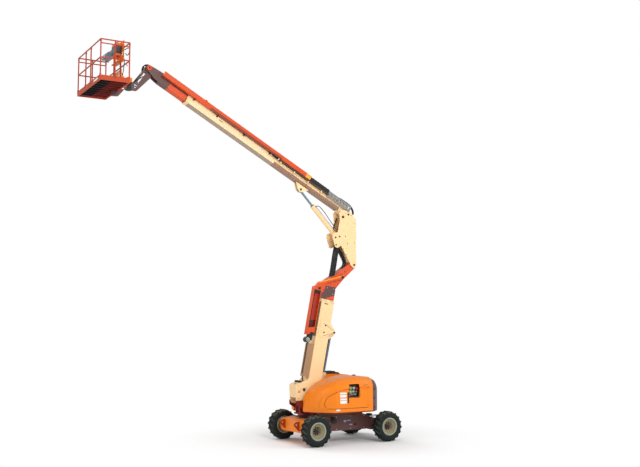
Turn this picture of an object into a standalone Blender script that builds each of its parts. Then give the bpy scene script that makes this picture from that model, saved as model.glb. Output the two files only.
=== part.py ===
"""Articulating boom lift, 60-foot class, standing as it is parked for a photograph: tower up,
main boom raised, platform level. Metres, +Z up, +X towards the platform, +Y the machine's left.
Shapes are drawn in machine coordinates, with the swing axis at x = 0, and hang on one empty that
brings the middle of the whole machine to the origin."""

import math

import bmesh
import bpy
from mathutils import Matrix, Vector

# --- driving dimensions -------------------------------------------------------------------------
GAP = 0.0003  # between pieces that touch
CLEAR = 0.008  # between pieces that move past each other
MIDDLE_X = 3.13  # where the middle of the machine lies ahead of the swing axis

WHEELBASE = 2.54
TRACK = 2.13
TYRE_RADIUS = 0.46
TYRE_WIDTH = 0.36
RIM_RADIUS = 0.27
KINGPIN_IN = 0.275  # from the wheel's middle plane in to its kingpin
LUG_COUNT = 17  # tread bars a side
LUG_HEIGHT = 0.026

CHASSIS_TOP = 0.80
CHASSIS_BOTTOM = 0.35
CHASSIS_HALF_WIDTH = 0.55
BEARING_RADIUS = 0.47
BEARING_HEIGHT = 0.06

DECK_BOTTOM = 0.94  # the turntable outside the chassis, above the tyres
DECK_TOP = 0.97
TURNTABLE_HALF_WIDTH = 1.18
FLANK = 0.538 * TURNTABLE_HALF_WIDTH  # half the length of the hoods' flat sides
TAIL_RADIUS = math.hypot(TURNTABLE_HALF_WIDTH, FLANK)
SLOT_HALF_WIDTH = 0.29
HOOD_WALL = 0.035

TOWER_FOOT = (1.25, 1.40)  # x and z where the tower's own line starts
HEEL_S = 0.22  # its hinge, that far up the line
TOWER_ANGLE = 101.0  # degrees from +X, so it leans back 11
TOWER_BOTTOM = -0.105  # its front face, square to the run (n)
TOWER_TOP = -0.56  # its rear face
TOWER_HALF_WIDTH = 0.205
TOWER_END = 3.08
TOWER_WALL = 0.012

NOSE = (-0.62, 5.48)  # hinge of the upright on the tower's nose
NOSE_HALF = 0.165
UPRIGHT_PIN = (-0.41, 7.09)  # hinge of the main boom
BOOM_ANGLE = 29.0
BOOM_UNDER = 0.042  # the base's underside, square to the run
BOOM_OVER = -0.29
BOOM_HALF_WIDTH = 0.15
BOOM_START = 0.30
BOOM_END = 6.345
BOOM_WALL = 0.010
FLY_TIP = (7.723, -0.155)  # s and n of the hinge at the fly's tip

ROTATOR_X = 6.83
PLATFORM_REAR = 7.15
PLATFORM_DEPTH = 0.84
PLATFORM_WIDTH = 2.24
PLATFORM_BOTTOM = 10.19
PLATFORM_HEIGHT = 1.143
RAIL = 0.019

# --- materials ----------------------------------------------------------------------------------
PAINTS = {  # base colour, metallic, roughness
    "orange": ((0.86, 0.27, 0.05), 0.0, 0.35),
    "cream": ((0.93, 0.78, 0.50), 0.0, 0.40),
    "brown": ((0.17, 0.12, 0.11), 0.0, 0.50),
    "red": ((0.50, 0.13, 0.07), 0.0, 0.45),
    "black": ((0.02, 0.02, 0.02), 0.0, 0.60),
    "plastic": ((0.02, 0.02, 0.02), 0.0, 0.50),
    "rubber": ((0.03, 0.035, 0.03), 0.0, 0.85),
    "rim": ((0.55, 0.56, 0.50), 0.0, 0.50),
    "steel": ((0.50, 0.54, 0.58), 0.8, 0.30),
    "iron": ((0.12, 0.11, 0.11), 0.3, 0.60),
    "panel": ((0.45, 0.48, 0.52), 0.0, 0.45),
}


def paint(name):
    """The material of that name, made when it is first asked for."""
    if name in bpy.data.materials:
        return bpy.data.materials[name]
    colour, metallic, roughness = PAINTS[name]
    material = bpy.data.materials.new(name)
    material.use_nodes = True
    shader = material.node_tree.nodes["Principled BSDF"]
    shader.inputs["Base Color"].default_value = (*colour, 1)
    shader.inputs["Metallic"].default_value = metallic
    shader.inputs["Roughness"].default_value = roughness
    return material


# --- shapes -------------------------------------------------------------------------------------
def solid(bm):
    """A loose object with its faces pointing out."""
    bmesh.ops.recalc_face_normals(bm, faces=bm.faces)
    if bm.calc_volume(signed=True) < 0:
        bmesh.ops.reverse_faces(bm, faces=bm.faces)
    mesh = bpy.data.meshes.new("piece")
    bm.to_mesh(mesh)
    bm.free()
    thing = bpy.data.objects.new("piece", mesh)
    bpy.context.scene.collection.objects.link(thing)
    return thing


def extruded(corners, push):
    """A closed outline of 3-D corners pushed along a vector."""
    bm = bmesh.new()
    face = bm.faces.new([bm.verts.new(c) for c in corners])
    moved = bmesh.ops.extrude_face_region(bm, geom=[face])["geom"]
    verts = [v for v in moved if isinstance(v, bmesh.types.BMVert)]
    bmesh.ops.translate(bm, verts=verts, vec=push)
    return solid(bm)


def side_plate(outline, y0, y1):
    """An outline of (x, z) corners, thick from y0 to y1."""
    return extruded([(x, y0, z) for x, z in outline], (0, y1 - y0, 0))


def deck_plate(outline, z0, z1):
    """An outline of (x, y) corners, thick from z0 to z1."""
    return extruded([(x, y, z0) for x, y in outline], (0, 0, z1 - z0))


def block(x0, x1, y0, y1, z0, z1):
    return deck_plate([(x0, y0), (x1, y0), (x1, y1), (x0, y1)], z0, z1)


def rod(start, end, radius, sides=16):
    """A round bar between two points."""
    start, end = Vector(start), Vector(end)
    bm = bmesh.new()
    bmesh.ops.create_cone(
        bm, cap_ends=True, segments=sides, radius1=radius, radius2=radius, depth=(end - start).length
    )
    turn = (end - start).to_track_quat("Z", "Y").to_matrix().to_4x4()
    bm.transform(Matrix.Translation((start + end) / 2) @ turn)
    return solid(bm)


def pin(x, z, y0, y1, radius, sides=20):
    return rod((x, y0, z), (x, y1, z), radius, sides)


def turned(profile, x, z, sides):
    """A closed profile of (radius, y) corners turned about the line along Y through x and z."""
    bm = bmesh.new()
    verts = [bm.verts.new((x + r, y, z)) for r, y in profile]
    edges = [bm.edges.new((verts[i], verts[i - 1])) for i in range(len(verts))]
    bmesh.ops.spin(
        bm, geom=verts + edges, cent=(x, 0, z), axis=(0, 1, 0), angle=math.tau, steps=sides
    )
    bmesh.ops.remove_doubles(bm, verts=bm.verts, dist=0.00001)
    return solid(bm)


class Run:
    """A straight run in the X-Z plane: s counts along it, n square to it on its right."""

    def __init__(self, foot, degrees):
        self.foot = foot
        self.cos, self.sin = math.cos(math.radians(degrees)), math.sin(math.radians(degrees))

    def at(self, s, n):
        return (
            self.foot[0] + s * self.cos + n * self.sin,
            self.foot[1] + s * self.sin - n * self.cos,
        )

    def point(self, s, n, y=0.0):
        x, z = self.at(s, n)
        return x, y, z

    def plate(self, corners, y0, y1):
        return side_plate([self.at(s, n) for s, n in corners], y0, y1)

    def bar(self, s0, s1, n0, n1, y0, y1):
        return self.plate([(s0, n0), (s1, n0), (s1, n1), (s0, n1)], y0, y1)

    def tube(self, s0, s1, n0, n1, half_width, wall):
        """A box section open at both ends, as its outside and the hole to cut."""
        outside = self.bar(s0, s1, n0, n1, -half_width, half_width)
        inner = half_width - wall
        low, high = min(n0, n1) + wall, max(n0, n1) - wall
        return outside, self.bar(s0 - 0.5, s1 + 0.5, low, high, -inner, inner)


def combine(target, tools, operation):
    """Join the tools to the target, or cut them out of it, and drop them."""
    if not tools:
        return
    group = bpy.data.collections.new("tools")
    bpy.context.scene.collection.children.link(group)
    for tool in tools:
        group.objects.link(tool)
    step = target.modifiers.new(operation, "BOOLEAN")
    step.solver = "EXACT"
    step.operand_type = "COLLECTION"
    step.collection = group
    step.operation = operation
    seen = target.evaluated_get(bpy.context.evaluated_depsgraph_get())
    mesh = bpy.data.meshes.new_from_object(seen)
    target.modifiers.clear()
    target.data = mesh
    for tool in tools:
        bpy.data.objects.remove(tool)
    bpy.data.collections.remove(group)


def piece(name, colour, solids, cuts=(), origin=(0, 0, 0)):
    """One named sub-part: solids joined, cuts taken out, its origin where it turns."""
    whole = solids[0]
    combine(whole, solids[1:], "UNION")
    combine(whole, list(cuts), "DIFFERENCE")
    bm = bmesh.new()
    bm.from_mesh(whole.data)
    bmesh.ops.remove_doubles(bm, verts=bm.verts, dist=0.00002)
    bmesh.ops.dissolve_limit(
        bm, angle_limit=0.002, verts=bm.verts, edges=bm.edges, delimit={"NORMAL"}
    )
    bmesh.ops.translate(bm, verts=bm.verts, vec=-Vector(origin))
    bm.to_mesh(whole.data)
    bm.free()
    whole.name = whole.data.name = name
    whole.data.materials.clear()
    whole.data.materials.append(paint(colour))
    whole.data.shade_smooth()
    whole.data.set_sharp_from_angle(angle=math.radians(30))
    whole.parent = bpy.data.objects["machine"]
    whole.location = origin
    return whole


def arc(centre, radius, start, end, count):
    """Corners along an arc, angles in degrees."""
    steps = [math.radians(start + (end - start) * i / (count - 1)) for i in range(count)]
    return [(centre[0] + radius * math.cos(t), centre[1] + radius * math.sin(t)) for t in steps]


TOWER = Run(TOWER_FOOT, TOWER_ANGLE)
HEEL = TOWER.at(HEEL_S, 0.0)

# --- chassis and wheels -------------------------------------------------------------------------
AXLE_X = WHEELBASE / 2
WHEEL_Y = TRACK / 2
TYRE_INNER_Y = WHEEL_Y - TYRE_WIDTH / 2
BEAM_FRONT = 1.50
BEAM_REAR = 1.02
BEAM_TOP = 0.69
BEAM_HALF_WIDTH = TYRE_INNER_Y - 0.165
REAR_BEAM_HALF_WIDTH = TYRE_INNER_Y - 0.245
HUB_RADIUS = 0.16
HUB_FACE = -0.30  # share of half the tyre's width where the rim's disc sits
HUB_END_Y = WHEEL_Y + HUB_FACE * TYRE_WIDTH / 2 - GAP
KINGPIN_Y = WHEEL_Y - KINGPIN_IN
FORK_RADIUS = 0.075
FORK_BOTTOM, FORK_TOP = TYRE_RADIUS - 0.10, TYRE_RADIUS + 0.12  # between the two fork plates
FORK_PLATE = 0.04
LUG_Y = 0.45
TIE_DOWN_REACH = 0.18
TIE_DOWN_EYE = (0.10, 0.60)  # ahead of the beam, and z
TIE_DOWN_HOLE = 0.032


def chassis():
    side = [(-0.98, 0.42), (-0.80, CHASSIS_BOTTOM), (1.05, CHASSIS_BOTTOM), (1.05, 0.74),
            (0.98, CHASSIS_TOP), (-0.86, CHASSIS_TOP), (-0.98, 0.72)]  # fmt: skip
    body = side_plate(side, -CHASSIS_HALF_WIDTH, CHASSIS_HALF_WIDTH)
    front = [(BEAM_REAR, CHASSIS_BOTTOM), (BEAM_FRONT, CHASSIS_BOTTOM), (BEAM_FRONT, BEAM_TOP),
             (BEAM_REAR, 0.76)]  # fmt: skip
    low = FORK_BOTTOM - 0.03
    rear = [(-1.47, low), (-0.95, low), (-0.95, 0.72), (-1.40, 0.63), (-1.47, 0.58)]
    solids = [
        body,
        side_plate(front, -BEAM_HALF_WIDTH, BEAM_HALF_WIDTH),
        side_plate(rear, -REAR_BEAM_HALF_WIDTH, REAR_BEAM_HALF_WIDTH),
    ]
    for side in (-1, 1):
        # stub axles of the fixed wheels
        y0, y1 = side * (BEAM_HALF_WIDTH - 0.02), side * HUB_END_Y
        solids.append(pin(AXLE_X, TYRE_RADIUS, y0, y1, HUB_RADIUS, 20))
        # fork plates over and under each kingpin
        y = side * KINGPIN_Y
        for z0, z1 in ((FORK_BOTTOM - FORK_PLATE, FORK_BOTTOM), (FORK_TOP, FORK_TOP + FORK_PLATE)):
            reach = sorted((side * (REAR_BEAM_HALF_WIDTH - 0.12), y))
            x0, x1 = -AXLE_X - FORK_RADIUS, -AXLE_X + FORK_RADIUS
            solids.append(block(x0, x1, *reach, z0, z1))
            solids.append(rod((-AXLE_X, y, z0 + 0.0005), (-AXLE_X, y, z1 - 0.0005), FORK_RADIUS, 20))
    piece("chassis_frame", "brown", solids)
    collar = [(0.30, CHASSIS_TOP + GAP), (BEARING_RADIUS, CHASSIS_TOP + GAP),
              (BEARING_RADIUS, CHASSIS_TOP + BEARING_HEIGHT),
              (0.30, CHASSIS_TOP + BEARING_HEIGHT)]  # fmt: skip
    bm = bmesh.new()
    verts = [bm.verts.new((r, 0, z)) for r, z in collar]
    edges = [bm.edges.new((verts[i], verts[i - 1])) for i in range(len(verts))]
    bmesh.ops.spin(
        bm, geom=verts + edges, cent=(0, 0, 0), axis=(0, 0, 1), angle=math.tau, steps=32
    )
    bmesh.ops.remove_doubles(bm, verts=bm.verts, dist=0.00001)
    piece("swing_bearing", "steel", [solid(bm)])
    for side, name in ((1, "tie_down_left"), (-1, "tie_down_right")):
        x0 = BEAM_FRONT + GAP
        eye = (x0 + TIE_DOWN_EYE[0], TIE_DOWN_EYE[1])
        outline = [(x0, eye[1] - 0.21), *arc(eye, TIE_DOWN_REACH - TIE_DOWN_EYE[0], -35, 80, 7),
                   (x0, eye[1] + 0.09)]  # fmt: skip
        y = side * LUG_Y
        hole = pin(*eye, y - 0.1, y + 0.1, TIE_DOWN_HOLE, 12)
        piece(name, "red", [side_plate(outline, y - 0.015, y + 0.015)], [hole])


def knuckles():
    for side, name in ((1, "knuckle_left"), (-1, "knuckle_right")):
        y = side * KINGPIN_Y
        low, high = FORK_BOTTOM + GAP, FORK_TOP - GAP
        post = rod((-AXLE_X, y, low), (-AXLE_X, y, high), 0.07, 16)
        hub = pin(-AXLE_X, TYRE_RADIUS, y - side * 0.03, side * HUB_END_Y, 0.095, 20)
        z = TYRE_RADIUS
        arm = block(-AXLE_X - 0.19, -AXLE_X, y - 0.03, y + 0.03, z - 0.06, z - 0.02)
        piece(name, "iron", [post, hub, arm], origin=(-AXLE_X, y, TYRE_RADIUS))


WHEEL_SIDES = 28
CASING_RADIUS = TYRE_RADIUS - LUG_HEIGHT
TYRE_HALF = TYRE_WIDTH / 2
TYRE_PROFILE = [  # radius and distance from the middle plane, one half
    (RIM_RADIUS, 0.030 - TYRE_HALF), (RIM_RADIUS + 0.03, 0.008 - TYRE_HALF),
    (CASING_RADIUS - 0.05, 0.004 - TYRE_HALF), (CASING_RADIUS, 0.055 - TYRE_HALF)]  # fmt: skip
TREAD_BAR = [  # distance from the middle plane, lead round the wheel in degrees, outer radius
    (-0.02, -4.0, TYRE_RADIUS), (TYRE_HALF - 0.045, 5.5, TYRE_RADIUS),
    (TYRE_HALF, 9.0, TYRE_RADIUS - 0.06)]  # fmt: skip
BAR_HALF = 2.9  # half a bar's width, in degrees


def tread_bar(x, y, side, turn):
    """One bar of a tyre's tread, from the middle over the shoulder on one side."""
    bm = bmesh.new()
    rings = []
    for along, lead, outer in TREAD_BAR:
        ring = []
        for radius, way in ((outer - 0.05, -1), (outer, -0.8), (outer, 0.8), (outer - 0.05, 1)):
            t = math.radians(turn + lead + way * BAR_HALF)
            at = (x + radius * math.sin(t), y + side * along, TYRE_RADIUS + radius * math.cos(t))
            ring.append(bm.verts.new(at))
        rings.append(ring)
    for here, there in zip(rings, rings[1:]):
        for i in range(4):
            j = (i + 1) % 4
            bm.faces.new((here[i], here[j], there[j], there[i]))
    bm.faces.new(rings[0])
    bm.faces.new(rings[-1])
    bmesh.ops.triangulate(bm, faces=bm.faces)
    return solid(bm)


def wheels():
    half = TYRE_PROFILE
    profile = half + [(r, -y) for r, y in reversed(half)]
    step = 360 / LUG_COUNT
    for x, end in ((AXLE_X, "front"), (-AXLE_X, "rear")):
        for side, hand in ((1, "left"), (-1, "right")):
            y = side * WHEEL_Y
            tyre = [turned([(r, y + t) for r, t in profile], x, TYRE_RADIUS, WHEEL_SIDES)]
            for way in (-1, 1):
                turns = [(i + 0.25 * way) * step for i in range(LUG_COUNT)]
                tyre += [tread_bar(x, y, way, turn) for turn in turns]
            origin = (x, y, TYRE_RADIUS)
            piece(f"tyre_{end}_{hand}", "rubber", tyre, origin=origin)
            edge, face = RIM_RADIUS - GAP, side * TYRE_WIDTH / 2
            dish = [(0.0, 0.02), (0.12, 0.02), (0.15, 0.45), (0.19, 0.50), (0.235, 0.84),
                    (edge, 0.84), (edge, -0.80), (0.24, -0.80), (0.24, -0.40), (0.20, -0.30),
                    (0.18, HUB_FACE), (0.0, HUB_FACE)]  # fmt: skip
            rim = turned_disc([(r, y + face * t) for r, t in dish], x, TYRE_RADIUS, WHEEL_SIDES)
            piece(f"rim_{end}_{hand}", "rim", [rim], origin=origin)


def turned_disc(profile, x, z, sides):
    """Like turned, for a profile that starts and ends on the axis."""
    bm = bmesh.new()
    verts = [bm.verts.new((x + r, y, z)) for r, y in profile]
    edges = [bm.edges.new(pair) for pair in zip(verts, verts[1:])]
    bmesh.ops.spin(
        bm, geom=verts + edges, cent=(x, 0, z), axis=(0, 1, 0), angle=math.tau, steps=sides
    )
    bmesh.ops.remove_doubles(bm, verts=bm.verts, dist=0.00001)
    return solid(bm)


# --- turntable ----------------------------------------------------------------------------------
BEARING_TOP = CHASSIS_TOP + BEARING_HEIGHT
HOOD_TOP = [  # share of the tail's radius, from the front back, and the crown's height there
    (0.97, 1.25), (0.933, 1.41), (0.881, 1.53), (0.731, 1.715), (0.545, 1.87), (0.299, 1.97),
    (0.052, 2.02), (-0.224, 2.02), (-0.522, 1.98)]  # fmt: skip
HOOD_TOP = [(share * TAIL_RADIUS, z) for share, z in HOOD_TOP]
TAIL_TOP = [(-0.522, 1.95), (-0.709, 1.90), (-0.858, 1.82), (-0.97, 1.68)]  # the tail weight's crown
TAIL_TOP = [(share * TAIL_RADIUS, z) for share, z in TAIL_TOP]
SHOULDER = 0.28  # radius of the hoods' long upper corner
HEEL_HALF_WIDTH = TOWER_HALF_WIDTH + 0.006
HEEL_PLATE = 0.035
PEDESTAL_Y = (0.10, 0.14)  # the two plates inside the heel that carry its pin
CHEEK_HALF_GAP = HEEL_HALF_WIDTH + CLEAR
CHEEK = 0.035
HOOD_REAR = -0.522 * TAIL_RADIUS
EAR_GAP = 0.055  # from the middle plane to the ears that hold a cylinder's eye
EAR = 0.03
ROD_EYE_RADIUS = 0.045
TOWER_BARREL, MAIN_BARREL = 0.075, 0.07  # radii of the lift cylinders
FOOT_GAP = TOWER_BARREL + CLEAR
TOWER_CYL_FOOT = (0.62, 1.00)


def plan(inset):
    """The turntable's rounded plan on the left side, from the slot outwards."""
    radius, wide = TAIL_RADIUS - inset, TURNTABLE_HALF_WIDTH - inset
    corner = math.degrees(math.asin(min(1.0, wide / radius)))
    slot = math.degrees(math.asin((SLOT_HALF_WIDTH + 0.02) / radius))
    front = arc((0, 0), radius, slot, corner, 9)
    back = arc((0, 0), radius, 180 - corner, 180 - slot, 9)
    return front + back


def plan_edge(x, inset):
    """Half the plan's width at x."""
    return min(TURNTABLE_HALF_WIDTH - inset, math.sqrt((TAIL_RADIUS - inset) ** 2 - x * x))


def crown(line, x):
    """Height at x on a line of (x, z) corners that runs towards -X."""
    for (xa, za), (xb, zb) in zip(line, line[1:]):
        if x >= xb:
            return za + (zb - za) * (xa - x) / (xa - xb)
    return line[-1][1]


def moulding(stations, line, foot, inset, side):
    """A loft along X between the slot's wall and the rounded plan, with a rounded upper corner."""
    bm = bmesh.new()
    rings = []
    slot = SLOT_HALF_WIDTH + inset
    for x in stations:
        top = crown(line, x) - inset
        wide = plan_edge(x, 0.0) - inset
        radius = min(SHOULDER - inset, 0.9 * (wide - slot))
        bend = arc((wide - radius, top - radius), radius, 90, 0, 6)
        corners = [(slot, foot), (slot, top), *bend, (wide, foot)]
        rings.append([bm.verts.new((x, side * y, z)) for y, z in corners])
    for here, there in zip(rings, rings[1:]):
        for i in range(len(here)):
            j = (i + 1) % len(here)
            bm.faces.new((here[i], here[j], there[j], there[i]))
    bm.faces.new(rings[0])
    bm.faces.new(rings[-1])
    bmesh.ops.triangulate(bm, faces=bm.faces)
    return solid(bm)


def mirrored(outline, side):
    return [(x, side * y) for x, y in outline]


def turntable():
    floor = BEARING_TOP + GAP
    cheek_outline = [(0.35, 0.90), (1.05, 0.90), (1.46, 1.15), (1.47, 1.29), (0.95, 1.29),
                     (0.35, 1.12)]  # fmt: skip
    x, z = HEEL
    pedestal = [(x - 0.10, floor + 0.02), (x + 0.10, floor + 0.02), *arc(HEEL, 0.09, 0, 180, 9)]
    solids = [
        block(HOOD_REAR, 1.05, -0.50, 0.50, floor, floor + 0.045),
        block(1.04, x + 0.10, -0.24, 0.24, floor, floor + 0.045),
        block(x - 0.05, x + 0.05, -PEDESTAL_Y[1] + 0.01, PEDESTAL_Y[1] - 0.01, floor + 0.02, 1.42),
        pin(*HEEL, GAP - HEEL_HALF_WIDTH + HEEL_PLATE, HEEL_HALF_WIDTH - HEEL_PLATE - GAP, 0.06, 20),
    ]
    cuts = []
    foot_x, foot_z = TOWER_CYL_FOOT
    ear = [(foot_x - 0.16, floor + 0.02), (foot_x + 0.16, floor + 0.02),
           (foot_x + 0.07, foot_z + 0.02), (foot_x + 0.03, foot_z + 0.07),
           (foot_x - 0.03, foot_z + 0.07), (foot_x - 0.07, foot_z + 0.02)]  # fmt: skip
    for side in (-1, 1):
        inner, outer = side * CHEEK_HALF_GAP, side * (CHEEK_HALF_GAP + CHEEK)
        solids.append(side_plate(cheek_outline, inner, outer))
        solids.append(side_plate(pedestal, *sorted((side * PEDESTAL_Y[0], side * PEDESTAL_Y[1]))))
        y0, y1 = sorted((side * FOOT_GAP, side * (FOOT_GAP + EAR)))
        solids.append(side_plate(ear, y0, y1))
        rear = HOOD_REAR + 0.01
        deck = [(x, y) for x, y in mirrored(plan(0.03), side) if x > rear]
        deck += [(rear, side * plan_edge(rear, 0.03)), (rear, side * (CHEEK_HALF_GAP + 0.01))]
        deck += [(1.0, side * (CHEEK_HALF_GAP + 0.01))]
        solids.append(deck_plate(deck, DECK_BOTTOM, DECK_TOP))
        web = sorted((side * 0.42, side * 0.50))
        solids.append(block(rear + 0.01, 1.0, *web, floor, DECK_TOP - 0.01))
    piece("turntable_frame", "red", solids, cuts)


def counterweight():
    front = HOOD_REAR - GAP
    solids = [block(front - 0.32, front, -0.52, 0.52, BEARING_TOP, 0.925)]
    for side in (-1, 1):
        shares = (-0.634, -0.746, -0.836, -0.91, -0.959)
        stations = (front, *(x * TAIL_RADIUS for x in shares))
        solids.append(moulding(stations, TAIL_TOP, DECK_BOTTOM, 0.0, side))
        foot = sorted((side * 0.32, side * 0.518))
        solids.append(block(front - 0.31, front - 0.01, *foot, BEARING_TOP + 0.01, 0.95))
    piece("counterweight", "brown", solids)


HINGE_RADIUS = 0.012
HINGE_Z = 1.70
HINGE_X = (-0.56, -0.24)  # the hinge rod lies along the hood at its rear end
LEAF_X = (-0.48, -0.25)  # where the door's leaf joins it
HINGE_Y = TURNTABLE_HALF_WIDTH + HINGE_RADIUS + GAP
DOOR = [(1.02, 1.08), (1.05, 1.26), (0.96, 1.42), (0.80, 1.52), (0.62, 1.59), (0.19, 1.66),
        (-0.24, 1.74), (-0.50, 1.77), (-0.50, 1.08)]  # fmt: skip
WINDOW = (-0.19, 0.17, 1.41, 1.80)  # x and z limits of the opening over the ground controls
HOOD_STATIONS = (-0.224, 0.052, 0.299, 0.597, 0.731, 0.821, 0.881, 0.933, 0.959)  # shares
HOOD_STATIONS = sorted([HOOD_REAR, -FLANK, FLANK, *(x * TAIL_RADIUS for x in HOOD_STATIONS)])


def hood_shell(side):
    """A moulded shell that sits on the deck, open below."""
    shell = moulding(HOOD_STATIONS, HOOD_TOP, DECK_TOP + GAP, 0.0, side)
    wall = HOOD_WALL
    inside = (HOOD_REAR + wall, *HOOD_STATIONS[1:-2], HOOD_STATIONS[-1] - 2 * wall)
    combine(shell, [moulding(inside, HOOD_TOP, 0.5, wall, side)], "DIFFERENCE")
    return shell


def hoods():
    for side, hand in ((1, "left"), (-1, "right")):
        reach = sorted((side * 0.72, side * 1.4))
        x0, x1, z0, z1 = WINDOW
        window = [(x0, z0), (x1, z0), (x1, z1), (x0, z1)]
        cuts = [side_plate(DOOR, *reach)]
        door_cuts = []
        if side > 0:
            cuts.append(side_plate(window, *reach))
            door_cuts.append(side_plate(window, *reach))
        piece(f"hood_{hand}", "orange", [hood_shell(side)], cuts)
        panel = hood_shell(side)
        combine(panel, [side_plate(inset_outline(DOOR, 0.006), *reach)], "INTERSECT")
        hinge_y = side * HINGE_Y
        ends = [(x, hinge_y, HINGE_Z) for x in HINGE_X]
        leaf = sorted((side * (TURNTABLE_HALF_WIDTH - 0.01), hinge_y))
        solids = [
            panel,
            rod(*ends, HINGE_RADIUS, 12),
            block(*LEAF_X, *leaf, HINGE_Z - 0.04, HINGE_Z),
        ]
        piece(f"hood_door_{hand}", "orange", solids, door_cuts, origin=(0, hinge_y, HINGE_Z))


def inset_outline(outline, amount):
    """The outline drawn in by about that amount, towards its middle."""
    mx = sum(x for x, _ in outline) / len(outline)
    mz = sum(z for _, z in outline) / len(outline)
    shrunk = []
    for x, z in outline:
        d = math.hypot(x - mx, z - mz)
        shrunk.append((x + (mx - x) * amount / d, z + (mz - z) * amount / d))
    return shrunk


def inside_the_hoods():
    wide = TURNTABLE_HALF_WIDTH
    piece("engine_block", "iron", [block(-0.55, 0.45, 0.20 - wide, -0.42, DECK_TOP + GAP, 1.55)])
    piece("fuel_tank", "plastic", [block(-0.60, 0.30, wide - 0.76, wide - 0.40, DECK_TOP + GAP, 1.50)])
    box = [(-0.17, DECK_TOP + GAP), (0.15, DECK_TOP + GAP), (0.15, 1.76), (-0.17, 1.76)]
    piece("ground_control_box", "plastic", [side_plate(box, wide - 0.36, wide - 0.08)])
    seat = [(x, crown(HOOD_TOP, x) + GAP) for x in (0.73, 0.40, 0.07, -0.30, -0.45)]
    lid = [(-0.40, 2.06), (-0.10, 2.09), (0.30, 2.06), (0.68, 1.93)]
    piece("top_cover", "plastic", [side_plate(seat + lid, 0.32 - wide, 0.78 - wide)])


# --- tower --------------------------------------------------------------------------------------
FLY_GAP = 0.008
PAD = 0.15
TOWER_LUG = (2.112, -0.728)  # s and n of the lift cylinder's eye
CHANNEL_Y = (0.10, 0.27)
CHANNEL_N = (0.0, 0.262)
CHANNEL_WALL = 0.02
TRAY_N = 0.11
ROLLER = (1.735, 0.185)  # s and n of the roller that the hose track turns on
CHIN_Y = 0.226  # past the upright's plates and pin heads


def tower():
    outside, hole = TOWER.tube(
        0.30, TOWER_END, TOWER_TOP, TOWER_BOTTOM, TOWER_HALF_WIDTH, TOWER_WALL
    )
    heel = [(1.49, 1.77), (1.47, 1.30), (1.40, 1.20), (1.16, 1.14), (0.90, 1.22), (0.70, 1.40)]
    heel += [TOWER.at(0.32, TOWER_TOP - 0.006), TOWER.at(0.55, TOWER_TOP - 0.006),
             TOWER.at(0.55, TOWER_BOTTOM + 0.006)]  # fmt: skip
    hole_low = TOWER.bar(0.62, TOWER_END + 0.5, TOWER_TOP + TOWER_WALL, TOWER_BOTTOM - TOWER_WALL,
                         -TOWER_HALF_WIDTH + TOWER_WALL, TOWER_HALF_WIDTH - TOWER_WALL)  # fmt: skip
    bpy.data.objects.remove(hole)
    block_ = side_plate(heel, -HEEL_HALF_WIDTH, HEEL_HALF_WIDTH)
    between = HEEL_HALF_WIDTH - HEEL_PLATE
    straddle = TOWER.bar(-1.0, 0.34, -0.80, 0.215, -between, between)
    collars = [pin(*HEEL, side * 0.205, side * 0.223, 0.055, 20) for side in (-1, 1)]
    s, n = TOWER_LUG
    half = TOWER_HALF_WIDTH
    shield = [(s - 0.22, -0.42), (s + 0.02, n - 0.03), (s + 0.08, n - 0.01), (s + 0.34, -0.48),
              (s + 0.30, -0.20), (s - 0.08, -0.17), (s - 0.22, -0.20)]  # fmt: skip
    for side in (-1, 1):
        collars.append(TOWER.plate(shield, *sorted((side * (half - 0.004), side * (half + 0.012)))))
        collars.append(pin(*TOWER.at(s, n), side * (half - 0.002), side * (half + 0.022), 0.04, 12))
    lug = [(s - 0.30, TOWER_TOP + 0.006), (s - 0.10, n - 0.07), (s + 0.02, n - 0.10),
           (s + 0.12, n - 0.05), (s + 0.30, TOWER_TOP + 0.006)]  # fmt: skip
    reach = (EAR_GAP, EAR_GAP + EAR)
    ears = [TOWER.plate(lug, *sorted((side * reach[0], side * reach[1]))) for side in (-1, 1)]
    solids = [outside, block_, *ears, *collars]
    piece("tower_base", "cream", solids, [hole_low, straddle], origin=(HEEL[0], 0, HEEL[1]))
    tray = TOWER.bar(0.62, 1.64, TOWER_BOTTOM + GAP, TRAY_N, 0.03, TOWER_HALF_WIDTH - 0.005)
    groove = TOWER.bar(0.70, 1.80, TRAY_N - 0.03, TRAY_N + 0.10, 0.06, TOWER_HALF_WIDTH - 0.035)
    piece("tower_tray", "cream", [tray], [groove])


def tower_fly():
    half = TOWER_HALF_WIDTH - TOWER_WALL - FLY_GAP
    n0, n1 = TOWER_TOP + TOWER_WALL + FLY_GAP, TOWER_BOTTOM - TOWER_WALL - FLY_GAP
    shaft = TOWER.bar(0.90, 3.45, n0, n1, -half, half)
    head = [TOWER.at(3.10, n1), TOWER.at(3.42, n1), (0.34, 4.98), (0.0, 5.18), (-0.52, 5.555)]
    head += [(-0.62, 5.585), (-0.70, 5.55), (-0.72, 5.47), (-0.68, 5.39), (-0.25, 5.02)]
    head += [TOWER.at(3.46, n0), TOWER.at(3.10, n0)]
    nose = side_plate(head, -NOSE_HALF, NOSE_HALF)
    bore = TOWER.bar(0.5, 3.30, n0 + 0.012, n1 - 0.012, -half + 0.012, half - 0.012)
    pads = wear_pads(TOWER, 0.95, n0, n1, half)
    piece("tower_fly", "orange", [shaft, nose, *pads], [bore], origin=(HEEL[0], 0, HEEL[1]))


def wear_pads(run, s, n0, n1, half):
    """Pads on the four sides of a fly that slide on the walls of its base."""
    lift = FLY_GAP - GAP
    wide = run.bar(s, s + PAD, n0 + 0.03, n1 - 0.03, -half - lift, half + lift)
    tall = run.bar(s, s + PAD, n0 - lift, n1 + lift, -half + 0.03, half - 0.03)
    return wide, tall


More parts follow.
